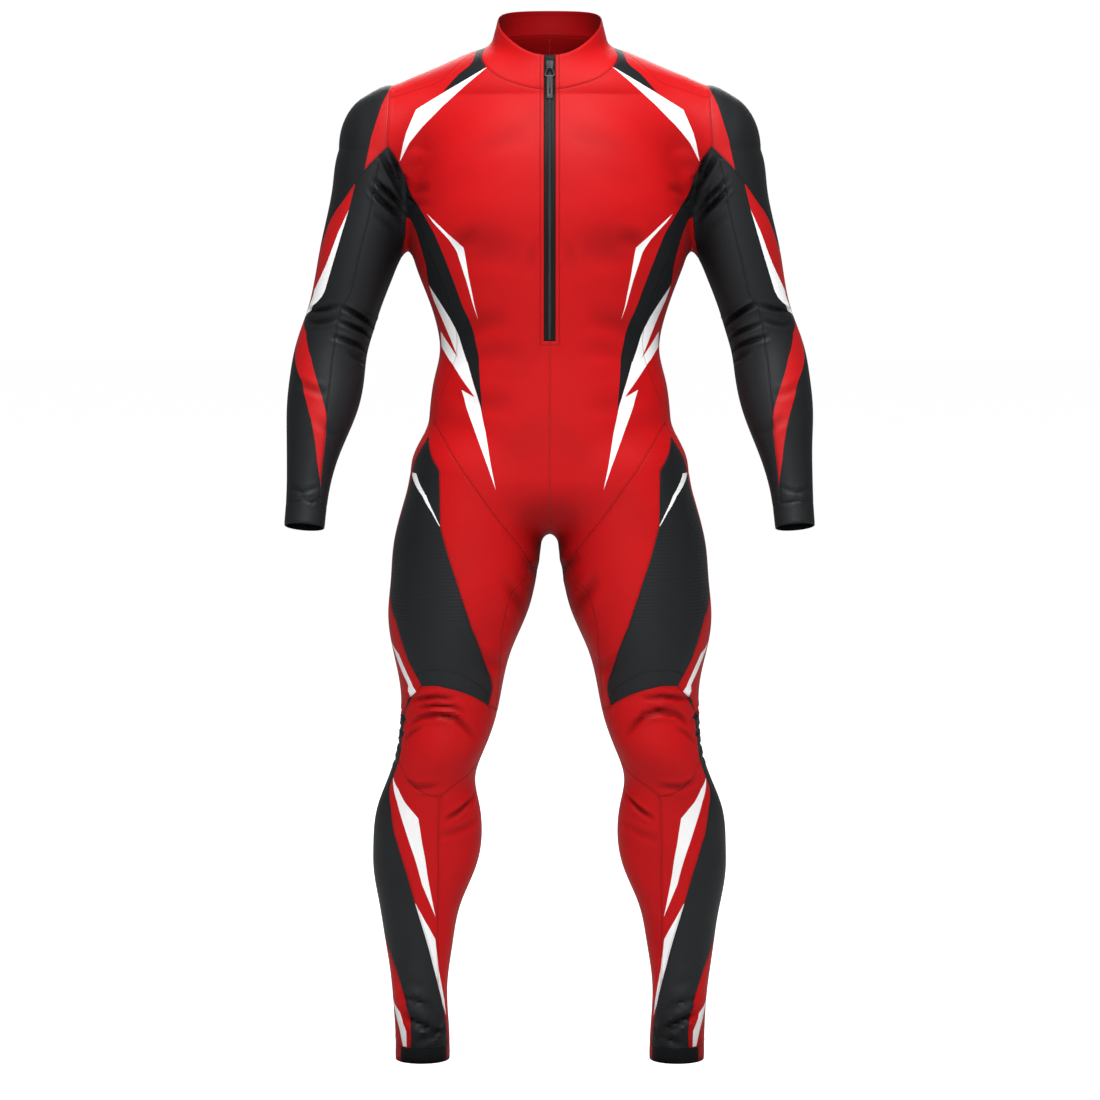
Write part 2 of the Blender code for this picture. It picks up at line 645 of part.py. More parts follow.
def cut_out_pieces(suit):
    """Every seam of the right half, from the neck down."""
    mark = suit.verts.layers.int.new("seam")
    for edge in suit.edges:
        if edge.is_boundary:
            for vertex in edge.verts:
                vertex[mark] = 1 if abs(vertex.co.x) > 1e-6 else 0
    cut(suit, "suit", over_neckline, "suit", "collar")
    cut(suit, "collar", over_collar, "collar", "waste")
    cut(suit, "collar", zip_slot, "zip_tape", "collar")

    cut(suit, "suit", armhole, "trunk", "arm")
    cut(suit, "arm", height_over(SLEEVE_CAP_SEAM), "sleeve", "sleeve_cap")
    cut(suit, "sleeve", along_forearm, "sleeve", "waste")
    cut(suit, "sleeve", lambda p: along_forearm(p) + CUFF_HEIGHT, "sleeve", "cuff")
    cut(suit, "sleeve", strip(ARM, SLEEVE_BACK, SLEEVE_FRONT), "sleeve_inner", "sleeve_outer")

    cut(suit, "trunk", lambda p: p[:, 2] - LEG_SPLIT_HEIGHT, "leg", "trunk")
    cut(suit, "trunk", front_or_back, "front", "back")
    cut(suit, "front", height_over(HIP_SEAM), "front_leg", "front")
    cut(suit, "back", height_over(SEAT_SEAM), "back_leg", "back")
    rename(suit, "front_leg", "leg")
    rename(suit, "back_leg", "thigh_back")
    cut(suit, "front", zip_slot, "zip_column", "front")
    cut(suit, "zip_column", lambda p: p[:, 2] - ZIP_END_HEIGHT, "front", "zip_tape")

    cut(suit, "leg", over_round(LEG, KNEE_TOP), "lower_leg", "thigh")
    cut(suit, "thigh", strip(LEG, THIGH_PANEL_FRONT, THIGH_PANEL_SIDE), "thigh_panel", "thigh")
    front = strip(LEG, THIGH_INNER_FRONT, THIGH_PANEL_FRONT, after=PAST_SEAM)
    cut(suit, "thigh", front, "thigh_front", "thigh")
    inner = strip(LEG, THIGH_INNER_BACK, THIGH_INNER_FRONT, after=PAST_SEAM)
    cut(suit, "thigh", inner, "thigh_inner", "thigh_back")
    cut(suit, "lower_leg", lambda p: p[:, 2] - HEM_END_HEIGHT, "waste", "lower_leg")
    cut(suit, "lower_leg", lambda p: p[:, 2] - HEM_END_HEIGHT - HEM_HEIGHT, "hem", "lower_leg")
    cut(suit, "lower_leg", strip(LEG, LOWER_INNER, LOWER_SIDE), "lower_front", "lower_back")
    cut(suit, "lower_front", over_round(LEG, KNEE_BOTTOM), "shin", "knee")
    cut(suit, "shin", strip(LEG, SHIN_SEAM, LOWER_SIDE, after=PAST_SEAM), "shin_outer", "shin_inner")
    cut(suit, "lower_back", strip(LEG, LOWER_SIDE, CALF_REAR, before=PAST_SEAM), "calf_panel", "calf_back")


# ---- Pieces of cloth: a region given its thickness.

def outline_directions(points, triangles, outward):
    """For each point on a piece's edge, the way into the piece that keeps both its edges clear."""
    sides = {}
    for triangle in triangles:
        for a, b in zip(triangle, np.roll(triangle, -1)):
            sides[(a, b)] = True
    ways = {}
    for a, b in sides:
        if (b, a) in sides:
            continue
        along = points[b] - points[a]
        length = np.linalg.norm(along)
        if length < 1e-7:
            continue
        for point in (a, b):
            inward = np.cross(outward[point], along / length)
            ways.setdefault(point, []).append(inward / np.linalg.norm(inward))
    inset = np.zeros_like(points)
    for point, found in ways.items():
        total = np.sum(found, axis=0)
        size = np.linalg.norm(total)
        if size > 1e-6:
            total = total / size
            inset[point] = total / max(float(np.mean([total @ way for way in found])), 0.5)
    return inset, [edge for edge in sides if (edge[1], edge[0]) not in sides]


def region_mesh(suit, region, welded):
    """Points and triangles of a region, with its mirrored half welded on where it crosses the middle."""
    faces = [f for f in suit.faces if f.material_index == REGIONS.index(region)]
    vertices = list(dict.fromkeys(v for f in faces for v in f.verts))
    place = {v: i for i, v in enumerate(vertices)}
    points = [np.array(v.co) for v in vertices]
    polygons = [[place[v] for v in f.verts] for f in faces]
    if welded:
        twin = {}
        for i in range(len(vertices)):
            if abs(points[i][0]) < 1e-6:
                twin[i] = i
            else:
                twin[i] = len(points)
                points.append(points[i] * (-1, 1, 1))
        polygons += [[twin[i] for i in reversed(polygon)] for polygon in list(polygons)]
    sheet = bmesh.new()
    made = [sheet.verts.new(p) for p in points]
    for polygon in polygons:
        sheet.faces.new([made[i] for i in polygon])
    sheet.verts.index_update()
    bmesh.ops.triangulate(sheet, faces=sheet.faces)
    triangles = [[v.index for v in f.verts] for f in sheet.faces]
    sheet.free()
    return np.array(points), triangles


def add_object(name, points, faces, material):
    mesh = bpy.data.meshes.new(name)
    mesh.from_pydata([tuple(p) for p in points], [], [list(map(int, f)) for f in faces])
    mesh.shade_smooth()
    mesh.materials.append(material)
    made = bpy.data.objects.new(name, mesh)
    bpy.context.collection.objects.link(made)
    return made


def cloth_piece(suit, region, name, material, welded=False, mirrored=False, sunk=0.0, thickness=CLOTH):
    """A region's points as the outer face, the same points moved in as the inner face, and a rim."""
    points, triangles = region_mesh(suit, region, welded)
    outward = normals(points)
    inset, rim = outline_directions(points, triangles, outward)
    outer = points + inset * SEAM_GAP / 2 - outward * sunk
    inner = outer - outward * thickness
    count = len(points)
    faces = [list(t) for t in triangles]
    faces += [[i + count for i in reversed(t)] for t in triangles]
    for a, b in rim:
        faces.append([b, a, a + count, b + count])
    every = np.concatenate([outer, inner])
    if mirrored:
        every = every * (-1, 1, 1)
        faces = [list(reversed(f)) for f in faces]
    piece = add_object(name, every, faces, material)
    solid = bmesh.new()
    solid.from_mesh(piece.data)
    bmesh.ops.triangulate(solid, faces=[f for f in solid.faces if len(f.verts) > 3])
    solid.to_mesh(piece.data)
    solid.free()
    piece.data.set_sharp_from_angle(angle=np.radians(50))
    return piece


# ---- The zip's slider and pull tab, laid out down and out from a point of the zip.

def front_point(height):
    """The form's front point on the middle line at a height."""
    depths = np.linspace(-0.16, -0.04, 241)
    rows = np.column_stack([np.zeros(241), depths, np.full(241, height)])
    value = form(rows)
    last = int(np.argmax(value < 0))
    share = value[last - 1] / (value[last - 1] - value[last])
    return Vector((0.0, depths[last - 1] + share * (depths[last] - depths[last - 1]), height))


def zip_top():
    """Height of the zip's upper end, where the middle line meets the collar's top edge."""
    low, high = -0.05, 0.02
    for _ in range(20):
        middle = (low + high) / 2
        if over_collar(np.array([front_point(middle)]))[0] < 0:
            low = middle
        else:
            high = middle
    return low


def zip_point(length):
    """The point of the zip a length below its top, measured along the cloth."""
    step = 0.001
    point = front_point(zip_top())
    left = length
    while left > 0:
        below = front_point(point.z - step)
        run = (below - point).length
        point = point.lerp(below, min(1.0, left / run))
        left -= run
    return point


def frame_along(start, end):
    """Axes across, down and out for something that lies from one point to another."""
    down = (end - start).normalized()
    across = Vector((-1.0, 0.0, 0.0))
    return across, down, across.cross(down)


def place(shape, origin, axes):
    """An object's own x, y and z laid along the axes, from the origin."""
    turn = Matrix([list(axis) for axis in axes]).transposed().to_4x4()
    shape.matrix_world = Matrix.Translation(origin) @ turn


def plate(name, outline, holes, bottom, top, material, upright=False):
    """A flat plate cut to an outline with holes; upright swaps its first axis with its thickness."""
    loops = [[Vector((x, y, 0.0)) for x, y in loop] for loop in (outline, *holes)]
    flat = [p for loop in loops for p in loop]
    triangles = tessellate_polygon(loops)
    count = len(flat)
    points = [(p.x, p.y, bottom) for p in flat] + [(p.x, p.y, top) for p in flat]
    faces = [list(t) for t in triangles] + [[i + count for i in t] for t in triangles]
    start = 0
    for loop in loops:
        for i in range(len(loop)):
            j = (i + 1) % len(loop)
            faces.append([start + i, start + j, start + j + count, start + i + count])
        start += len(loop)
    if upright:
        points = [(z, x, y) for x, y, z in points]
    made = add_object(name, points, faces, material)
    solid = bmesh.new()
    solid.from_mesh(made.data)
    bmesh.ops.recalc_face_normals(solid, faces=solid.faces)
    solid.to_mesh(made.data)
    solid.free()
    made.data.set_sharp_from_angle(angle=np.radians(35))
    return made


def rounded_end(half_width, length, radius, steps=4):
    """The two rounded corners of a strap's free end, from one side to the other."""
    points = []
    for side, start in ((1, 0), (-1, 90)):
        for i in range(steps + 1):
            turn = np.radians(start + 90 * i / steps)
            points.append((side * (half_width - radius) + radius * np.cos(turn),
                           length - radius + radius * np.sin(turn)))
    return points


def slot_outline(start, length, width, steps=6):
    """A slot with round ends that runs down."""
    radius = width / 2
    points = []
    for middle, first in ((start + length - radius, 0), (start + radius, 180)):
        for i in range(steps + 1):
            turn = np.radians(first + 180 * i / steps)
            points.append((radius * np.cos(turn), middle + radius * np.sin(turn)))
    return points


def zip_slider(material):
    """A tapered plate just over the tape, with the bridge that holds the pull tab."""
    start = zip_point(SLIDER_START)
    axes = frame_along(start, zip_point(SLIDER_START + SLIDER_LENGTH))
    bottom = SLIDER_LIFT - TAPE_SUNK
    top = bottom + SLIDER_PLATE
    half_top, half_end = SLIDER_TOP_WIDTH / 2, SLIDER_END_WIDTH / 2
    outline = [(-half_top * 0.7, 0.0), (half_top * 0.7, 0.0), (half_top, SLIDER_LENGTH * 0.15),
               (half_end, SLIDER_LENGTH * 0.9), (half_end * 0.75, SLIDER_LENGTH),
               (-half_end * 0.75, SLIDER_LENGTH), (-half_end, SLIDER_LENGTH * 0.9),
               (-half_top, SLIDER_LENGTH * 0.15)]
    slider = plate("zip_slider", outline, (), bottom, top, material)
    place(slider, start, axes)
    return slider


def slider_bridge(material):
    """The stamped bridge that stands on the slider's plate and holds the pull tab's pin."""
    start = zip_point(SLIDER_START)
    first = BRIDGE_START - SLIDER_START
    last = first + BRIDGE_LENGTH
    foot = SLIDER_LIFT - TAPE_SUNK + SLIDER_PLATE + SEAM_GAP
    ceiling = foot + BRIDGE_WINDOW
    roof = ceiling + BRIDGE_BAR
    arch = [(first, foot), (first + BRIDGE_BAR, foot), (first + BRIDGE_BAR, ceiling),
            (last - BRIDGE_BAR, ceiling), (last - BRIDGE_BAR, foot), (last, foot), (last, roof - BRIDGE_BAR),
            (last - BRIDGE_BAR, roof), (first + BRIDGE_BAR, roof), (first, roof - BRIDGE_BAR)]
    bridge_bar = plate("slider_bridge", arch, (), -BRIDGE_WIDTH / 2, BRIDGE_WIDTH / 2, material, upright=True)
    place(bridge_bar, start, frame_along(start, zip_point(SLIDER_START + SLIDER_LENGTH)))
    return bridge_bar


def pull_tab(material):
    """The ring and tab in one, with its origin on its pin under the bridge."""
    pin_height = SLIDER_LIFT - TAPE_SUNK + SLIDER_PLATE + SEAM_GAP + BRIDGE_WINDOW / 2
    start = zip_point(SLIDER_START)
    _, down, out = frame_along(start, zip_point(SLIDER_START + SLIDER_LENGTH))
    pin = start + down * (PULL_PIVOT - SLIDER_START) + out * pin_height
    low = zip_point(PULL_PIVOT + PULL_LENGTH)
    _, _, low_out = frame_along(low, zip_point(PULL_PIVOT + PULL_LENGTH + 0.002))
    axes = frame_along(pin, low + low_out * (PULL_CLEAR + PULL_THICKNESS / 2))
    bar = PULL_THICKNESS
    top_half, ring_half, tab_half = PULL_TOP_WIDTH / 2, PULL_RING_WIDTH / 2, PULL_TAB_WIDTH / 2
    left = [(-tab_half, PULL_RING_LENGTH + bar), (-ring_half * 0.86, PULL_RING_LENGTH + bar / 2),
            (-ring_half, PULL_RING_LENGTH - bar), (-top_half, bar), (-top_half + bar / 2, -bar / 2)]
    outline = left + [(-x, y) for x, y in reversed(left)] + rounded_end(tab_half, PULL_LENGTH, 0.0016)
    wide = ring_half - 1.25 * bar
    window = [(-top_half + bar, bar / 2), (top_half - bar, bar / 2), (wide, PULL_RING_LENGTH - bar * 1.4),
              (wide * 0.8, PULL_RING_LENGTH - bar / 2), (-wide * 0.8, PULL_RING_LENGTH - bar / 2),
              (-wide, PULL_RING_LENGTH - bar * 1.4)]
    slot = slot_outline(PULL_SLOT_START, PULL_SLOT_LENGTH, PULL_SLOT_WIDTH)
    tab = plate("pull_tab", outline, (window, slot), -PULL_THICKNESS / 2, PULL_THICKNESS / 2, material)
    place(tab, pin, axes)
    return tab


def paint(name, colour, roughness, metallic=0.0):
    material = bpy.data.materials.new(name)
    material.use_nodes = True
    shader = material.node_tree.nodes["Principled BSDF"]
    shader.inputs["Base Color"].default_value = (*colour, 1.0)
    shader.inputs["Roughness"].default_value = roughness
    shader.inputs["Metallic"].default_value = metallic
    return material


RED = (0.60, 0.022, 0.026)
BLACK = (0.022, 0.024, 0.026)
GUNMETAL = (0.16, 0.16, 0.165)
GRAPHITE = (0.055, 0.06, 0.062)
SIDED_PIECES = {
    "front": RED, "back": RED, "sleeve_cap": BLACK, "sleeve_outer": BLACK, "sleeve_inner": BLACK,
    "cuff": BLACK, "thigh_panel": BLACK, "thigh_front": RED, "thigh_inner": RED, "thigh_back": RED, "knee": RED,
    "shin_outer": RED, "shin_inner": RED, "calf_panel": BLACK, "calf_back": RED, "hem": BLACK}


def main():
    for item in list(bpy.data.objects):
        bpy.data.objects.remove(item)
    suit = smoothed_half()
    cut_out_pieces(suit)
    for region, colour in SIDED_PIECES.items():
        for side in ("right", "left"):
            name = f"{region}_{side}"
            cloth_piece(suit, region, name, paint(name, colour, 0.55), mirrored=side == "left")
    cloth_piece(suit, "collar", "collar", paint("collar", RED, 0.55), welded=True)
    cloth_piece(suit, "zip_tape", "zip_tape", paint("zip_tape", BLACK, 0.5), welded=True, sunk=TAPE_SUNK,
                thickness=TAPE_THICKNESS)
    suit.free()
    zip_slider(paint("zip_slider", GUNMETAL, 0.32, metallic=0.9))
    slider_bridge(paint("slider_bridge", GUNMETAL, 0.32, metallic=0.9))
    pull_tab(paint("pull_tab", GRAPHITE, 0.42))


main()
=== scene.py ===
# Ski race suit: a hollow one-piece suit, standing as if worn, with nobody in it.
# Metres, +Z up, the suit faces -Y. "right" and "left" are the wearer's.
import bmesh
import bpy
import numpy as np
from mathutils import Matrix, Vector
from mathutils.bvhtree import BVHTree
from mathutils.kdtree import KDTree


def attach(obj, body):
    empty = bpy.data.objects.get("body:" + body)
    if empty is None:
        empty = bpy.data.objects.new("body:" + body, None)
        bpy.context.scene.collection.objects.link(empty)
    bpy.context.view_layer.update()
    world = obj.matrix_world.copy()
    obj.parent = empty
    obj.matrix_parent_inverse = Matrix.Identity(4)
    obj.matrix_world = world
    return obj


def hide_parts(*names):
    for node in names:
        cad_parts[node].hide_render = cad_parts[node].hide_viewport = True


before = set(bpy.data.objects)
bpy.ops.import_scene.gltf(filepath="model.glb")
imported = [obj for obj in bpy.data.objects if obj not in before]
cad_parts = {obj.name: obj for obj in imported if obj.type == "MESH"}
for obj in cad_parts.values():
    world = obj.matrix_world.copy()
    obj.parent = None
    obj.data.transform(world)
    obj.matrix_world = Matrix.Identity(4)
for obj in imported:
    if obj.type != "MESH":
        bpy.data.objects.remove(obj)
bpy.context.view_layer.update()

# The cloth: its own thickness, and how its seams and open ends are finished.
cloth = {
    "levels": 5,               # the cage's faces are halved this many times
    "thickness": 0.0012,
    "tapeThickness": 0.0010,
    "tapeSunk": 0.0004,        # the zip tape lies this much below the cloth
    "seamGap": 0.00004,
    "roundedEdge": 0.0004,     # how far the turned edges bulge
    "seamDip": 0.00035,        # how far the cloth pulls in along a seam
    "seamDipWidth": 0.0024,
    "waves": 0.00045,          # slight unevenness of the stretched cloth
    "creaseDepth": 2.3,        # every crease's depth is multiplied by this
    "creaseWidth": 0.78,       # and its width by this
    "ridge": (0.5, 1.55, 0.7),  # height, distance and width of the ridges beside a trough of 1 by 1
    "foldShade": 0.40,         # painted shade: how much darker the colour is at the bottom of a crease
    "foldDepth": 0.003,        # how deep it is there
    "calmRounds": 12,          # how often the hollow beside the armhole is evened out
}
cuffHeight = 0.031
cuffEndHeight = -0.6745
hemHeight = 0.022
hemEndHeight = -1.452
zipWidth = 0.016
zipEndHeight = -0.412
neckSlope = 0.47               # rise of the neckline from front to back
neckSideHeight = -0.018
legBlend = 0.012
hipBlend = 0.030
armBlend = 0.025
shoulderBlend = 0.035
neckBlend = 0.014
pastSeam = 15                  # degrees that a strip goes past a seam that is already cut
tenths = 10000                 # tenths of a millimetre in a metre
fullTurn = 6.2832


def newObject(name, data):
    made = bpy.data.objects.new(name, data)
    bpy.context.collection.objects.link(made)
    return made


# A short table with named columns, sorted by its first column. Lengths are given in tenths of a
# millimetre, powers in tenths and angles in degrees.
def table(columns, *rows):
    data = np.array(sorted(rows), dtype=float)
    units = {"angle": 1, "power": 10}
    return {name: data[:, i] / units.get(name, tenths) for i, name in enumerate(columns.split())}


# A column of a table along its first column, as a natural cubic curve, level past the ends.
def smooth(rows, column, where):
    place = next(iter(rows.values()))
    value = rows[column]
    count = len(place)
    step = np.diff(place)
    system = np.eye(count)
    right = np.zeros(count)
    for i in range(1, count - 1):
        system[i, i - 1:i + 2] = step[i - 1], 2 * (step[i - 1] + step[i]), step[i]
        right[i] = 6 * ((value[i + 1] - value[i]) / step[i] - (value[i] - value[i - 1]) / step[i - 1])
    bend = np.linalg.solve(system, right)
    where = np.clip(where, place[0], place[-1])
    i = np.clip(np.searchsorted(place, where) - 1, 0, count - 2)
    up = place[i + 1] - where
    down = where - place[i]
    width = step[i]
    curve = (bend[i] * up ** 3 + bend[i + 1] * down ** 3) / (6 * width)
    return curve + (value[i] / width - bend[i] * width / 6) * up + (
        value[i + 1] / width - bend[i + 1] * width / 6) * down


# A column of a table along its first column, in straight runs.
def straight(rows, column, where):
    return np.interp(where, next(iter(rows.values())), rows[column])


torsoForm = table(
    "height halfWidth centreY front back power",
    (-400, 1500, 120, 850, 850, 22), (-900, 1740, 80, 1040, 980, 23), (-1500, 1880, 40, 1200, 1080, 24),
    (-2200, 1970, 0, 1260, 1120, 24), (-2850, 1960, 0, 1220, 1060, 24), (-3420, 1765, 0, 1140, 970, 23),
    (-3900, 1610, 0, 1070, 900, 22), (-4300, 1555, 0, 1030, 870, 22), (-4700, 1645, 0, 1020, 890, 22),
    (-5100, 1705, 0, 1030, 960, 22), (-5500, 1730, 0, 1040, 1070, 22), (-6000, 1760, 0, 1020, 1110, 22))
torsoTop = (-0.07, 0.07)
torsoBottom = (-0.60, 0.085)

legForm = table(
    "height centreX halfWidth centreY front back power",
    (-5600, 1000, 845, 0, 940, 1000, 21), (-6200, 1065, 945, 0, 980, 1050, 21),
    (-7000, 1165, 1050, 0, 980, 1010, 21), (-7550, 1235, 1035, 0, 980, 970, 21),
    (-8000, 1310, 997, -10, 940, 900, 21), (-8550, 1390, 848, -30, 850, 800, 21),
    (-9120, 1411, 720, -50, 730, 680, 21), (-9550, 1457, 675, -70, 690, 600, 21),
    (-9975, 1556, 625, -60, 680, 560, 21), (-10400, 1690, 625, 20, 600, 560, 21),
    (-10830, 1738, 735, 100, 560, 630, 21), (-11400, 1765, 780, 200, 560, 680, 21),
    (-11700, 1800, 745, 220, 550, 660, 21), (-12255, 1870, 592, 240, 500, 560, 21),
    (-12825, 1885, 487, 230, 430, 460, 21), (-13400, 1885, 405, 210, 390, 410, 21),
    (-14000, 1850, 392, 190, 390, 410, 21), (-14500, 1840, 395, 180, 390, 410, 21))
legTop = (-0.60, 0.07)

armForm = table(
    "height centreX halfWidth centreY front back power",
    (-1000, 2150, 580, 40, 600, 600, 20), (-1500, 2390, 610, 40, 620, 620, 20),
    (-2000, 2485, 590, 50, 620, 620, 20), (-2850, 2670, 590, 70, 600, 600, 20),
    (-3420, 2825, 533, 100, 550, 550, 20), (-3700, 2914, 516, 120, 520, 520, 20),
    (-4000, 3020, 523, 120, 500, 500, 20), (-4300, 3110, 525, 80, 500, 500, 20),
    (-4700, 3165, 530, -20, 500, 500, 20), (-5130, 3225, 500, -140, 470, 470, 20),
    (-5700, 3330, 385, -300, 370, 370, 20), (-6270, 3415, 300, -460, 290, 290, 20),
    (-7000, 3470, 285, -660, 275, 275, 20))
armTop = (-0.145, 0.080)

# The shoulder bar runs across, so its sections are upright and counted from the middle out.
shoulderForm = table(
    "reach height halfHeight centreY halfDepth",
    (0, -500, 550, 240, 700), (600, -550, 550, 220, 720), (1000, -670, 580, 180, 720),
    (1500, -900, 600, 120, 680), (2000, -1070, 600, 60, 620), (2400, -1300, 580, 40, 550))
shoulderEnd = (0.22, 0.035)

# Neck sections lie in the sloping plane of the neckline, and height is counted from it.
neckForm = table(
    "height halfWidth centreY halfDepth",
    (-600, 1060, 0, 1000), (-200, 925, -20, 870), (0, 860, -30, 800), (200, 820, -30, 760),
    (460, 755, -30, 700), (1000, 700, -30, 640))
neckBottom = -0.10


# Height over the sloping plane of the neckline.
def neckHeight(points):
    return points[:, 2] - neckSideHeight - neckSlope * points[:, 1]


# How far points lie past the rounded end of a tube, in end lengths.
def swell(distance, end):
    return np.maximum(distance, 0) / end


# A tube of level sections: near its surface, the distance to it, less than 0 inside.
def tube(rows, across, points, top=None, bottom=None):
    height = points[:, 2]
    level = height
    if top:
        level = np.minimum(level, top[0])
    if bottom:
        level = np.maximum(level, bottom[0])
    half = smooth(rows, "halfWidth", level)
    deep = points[:, 1] - smooth(rows, "centreY", level)
    depth = np.where(deep < 0, smooth(rows, "front", level), smooth(rows, "back", level))
    power = smooth(rows, "power", level)
    if "centreX" in rows:
        across = across - smooth(rows, "centreX", level)
    size = (np.abs(across / half) ** power + np.abs(deep / depth) ** power) ** (1 / power)
    if top:
        size = np.hypot(size, swell(height - top[0], top[1]))
    if bottom:
        size = np.hypot(size, swell(bottom[0] - height, bottom[1]))
    return (size - 1) * np.sqrt(half * depth)


# The bar from shoulder to shoulder.
def shoulderBar(across, points):
    reach = np.minimum(across, shoulderEnd[0])
    half = smooth(shoulderForm, "halfHeight", reach)
    depth = smooth(shoulderForm, "halfDepth", reach)
    up = (points[:, 2] - smooth(shoulderForm, "height", reach)) / half
    deep = (points[:, 1] - smooth(shoulderForm, "centreY", reach)) / depth
    size = np.sqrt(up ** 2 + deep ** 2 + swell(across - shoulderEnd[0], shoulderEnd[1]) ** 2)
    return (size - 1) * np.sqrt(half * depth)


# The neck, open at the top.
def neckTube(points):
    level = neckHeight(points)
    half = smooth(neckForm, "halfWidth", level)
    deep = (points[:, 1] - smooth(neckForm, "centreY", level)) / smooth(neckForm, "halfDepth", level)
    return np.maximum((np.hypot(points[:, 0] / half, deep) - 1) * half, neckBottom - level)


# The union of two forms with a soft fillet between them.
def melt(first, second, width):
    share = np.clip(0.5 + 0.5 * (second - first) / width, 0, 1)
    return second * (1 - share) + first * share - width * share * (1 - share)


# Distance to the cloth's outer surface near it, less than 0 inside.
def form(points):
    across = np.abs(points[:, 0])
    torso = tube(torsoForm, points[:, 0], points, torsoTop, torsoBottom)
    torso = melt(torso, shoulderBar(across, points), shoulderBlend)
    torso = melt(torso, tube(armForm, across, points, armTop), armBlend)
    legs = [tube(legForm, way * points[:, 0], points, legTop) for way in (1, -1)]
    return melt(melt(torso, melt(*legs, legBlend), hipBlend), neckTube(points), neckBlend)


# The form's gradient.
def slope(points, step=0.0005):
    columns = []
    for axis in np.eye(3) * step:
        columns.append((form(points + axis) - form(points - axis)) / (2 * step))
    return np.stack(columns, axis=1)


# The points moved along the gradient until they lie on the form.
def ontoForm(points, rounds=12, step=0.0004):
    points = np.array(points, dtype=float)
    for _ in range(rounds):
        level = form(points)
        away = np.stack([(form(points + axis) - level) / step for axis in np.eye(3) * step], axis=1)
        reach = level / np.maximum((away ** 2).sum(axis=1), 0.2)
        points -= np.clip(reach, -0.02, 0.02)[:, None] * away
    return points


def normals(points):
    away = slope(points)
    return away / np.linalg.norm(away, axis=1, keepdims=True)


# Heights of the front middle, side and back middle, and how far the ring reaches each way.
torsoRings = (
    (0.030, 0.062, 0.096, 0.056, 0.062, 0.058),
    (-0.052, -0.022, 0.015, 0.072, 0.080, 0.076),
    (-0.140, -0.072, -0.090, 0.214, 0.115, 0.105),
    (-0.270, -0.275, -0.270, 0.176, 0.124, 0.108),
    (-0.360, -0.360, -0.360, 0.140, 0.110, 0.094),
    (-0.440, -0.440, -0.440, 0.126, 0.102, 0.088),
    (-0.510, -0.510, -0.510, 0.138, 0.103, 0.097),
    (-0.580, -0.565, -0.590, 0.148, 0.102, 0.114))
ringSideShare = 0.60      # depth of the side points, as a share of the ring's
crotchPoints = ((0.0, -0.060, -0.668), (-0.160, -0.070, -0.640), (-0.160, 0.080, -0.650),
                (0.0, 0.075, -0.676), (0.0, 0.010, -0.690))
legRingHeights = (-0.76, -0.885, -1.005, -1.12, -1.275, -1.475)
legRingAngles = (288, 216, 144, 72, 0)     # from the inner side: front, outer front, outer back, back
armRingHeights = ((-0.135, -0.305), (-0.235, -0.360), (-0.345, -0.415), (-0.465, -0.485),
                  (-0.590, -0.580), (-0.715, -0.700))   # at the outer and the inner side
armCorner = 0.72           # a four-sided ring's corners, as a share of the section's half width


# Middle front, side front, side back and middle back.
def torsoRing(front, side, back, sideReach, frontReach, backReach):
    return [(0.0, -frontReach, front), (-sideReach, -ringSideShare * frontReach, side),
            (-sideReach, ringSideShare * backReach, side), (0.0, backReach, back)]


# Five points round the right leg.
def legRing(height):
    middle = smooth(legForm, "centreX", height)
    half = smooth(legForm, "halfWidth", height)
    depth = 0.5 * (smooth(legForm, "front", height) + smooth(legForm, "back", height))
    points = []
    for angle in np.radians(legRingAngles):
        across = -middle + half * np.cos(angle)
        points.append((across, smooth(legForm, "centreY", height) + depth * np.sin(angle), height))
    return points


# Outer front, outer back, inner back and inner front of the right arm.
def armRing(outer, inner):
    points = []
    for height, side, face in ((outer, 1, -1), (outer, 1, 1), (inner, -1, 1), (inner, -1, -1)):
        across = smooth(armForm, "centreX", height) + side * armCorner * smooth(armForm, "halfWidth", height)
        deep = smooth(armForm, "centreY", height) + face * armCorner * smooth(armForm, "front", height)
        points.append((-across, deep, height))
    return points


# Quads between two rings of the same number of points.
def bridge(cage, first, second, closed, skip=None):
    count = len(first)
    for i in range(count if closed else count - 1):
        if i != skip:
            j = (i + 1) % count
            cage.faces.new((first[i], first[j], second[j], second[i]))


# The cage of the right half: torso rings, the leg's rings and the arm's rings.
def halfCage():
    cage = bmesh.new()
    torso = [[cage.verts.new(p) for p in torsoRing(*row)] for row in torsoRings]
    crotch = [cage.verts.new(p) for p in crotchPoints]
    legs = [crotch] + [[cage.verts.new(p) for p in legRing(h)] for h in legRingHeights]
    shoulder, armpit = torso[2], torso[3]
    armhole = [shoulder[1], shoulder[2], armpit[2], armpit[1]]
    arms = [armhole] + [[cage.verts.new(p) for p in armRing(*row)] for row in armRingHeights]
    for upper, lower in zip(torso, torso[1:]):
        bridge(cage, upper, lower, False, skip=1 if upper is shoulder else None)
    bridge(cage, torso[-1], crotch[:4], False)
    for upper, lower in zip(legs, legs[1:]):
        bridge(cage, upper, lower, True)
    for upper, lower in zip(arms, arms[1:]):
        bridge(cage, upper, lower, True)
    bmesh.ops.recalc_face_normals(cage, faces=cage.faces)
    return cage


armholeLine = table(
    "height reach",
    (1000, 2210), (-470, 2210), (-670, 2245), (-1380, 2275), (-1640, 2115), (-1870, 2020), (-2300, 2010),
    (-2700, 2040), (-3400, 2200), (-4500, 2450), (-6000, 2750), (-7200, 3000), (-7600, 6000),
    (-16000, 6000))
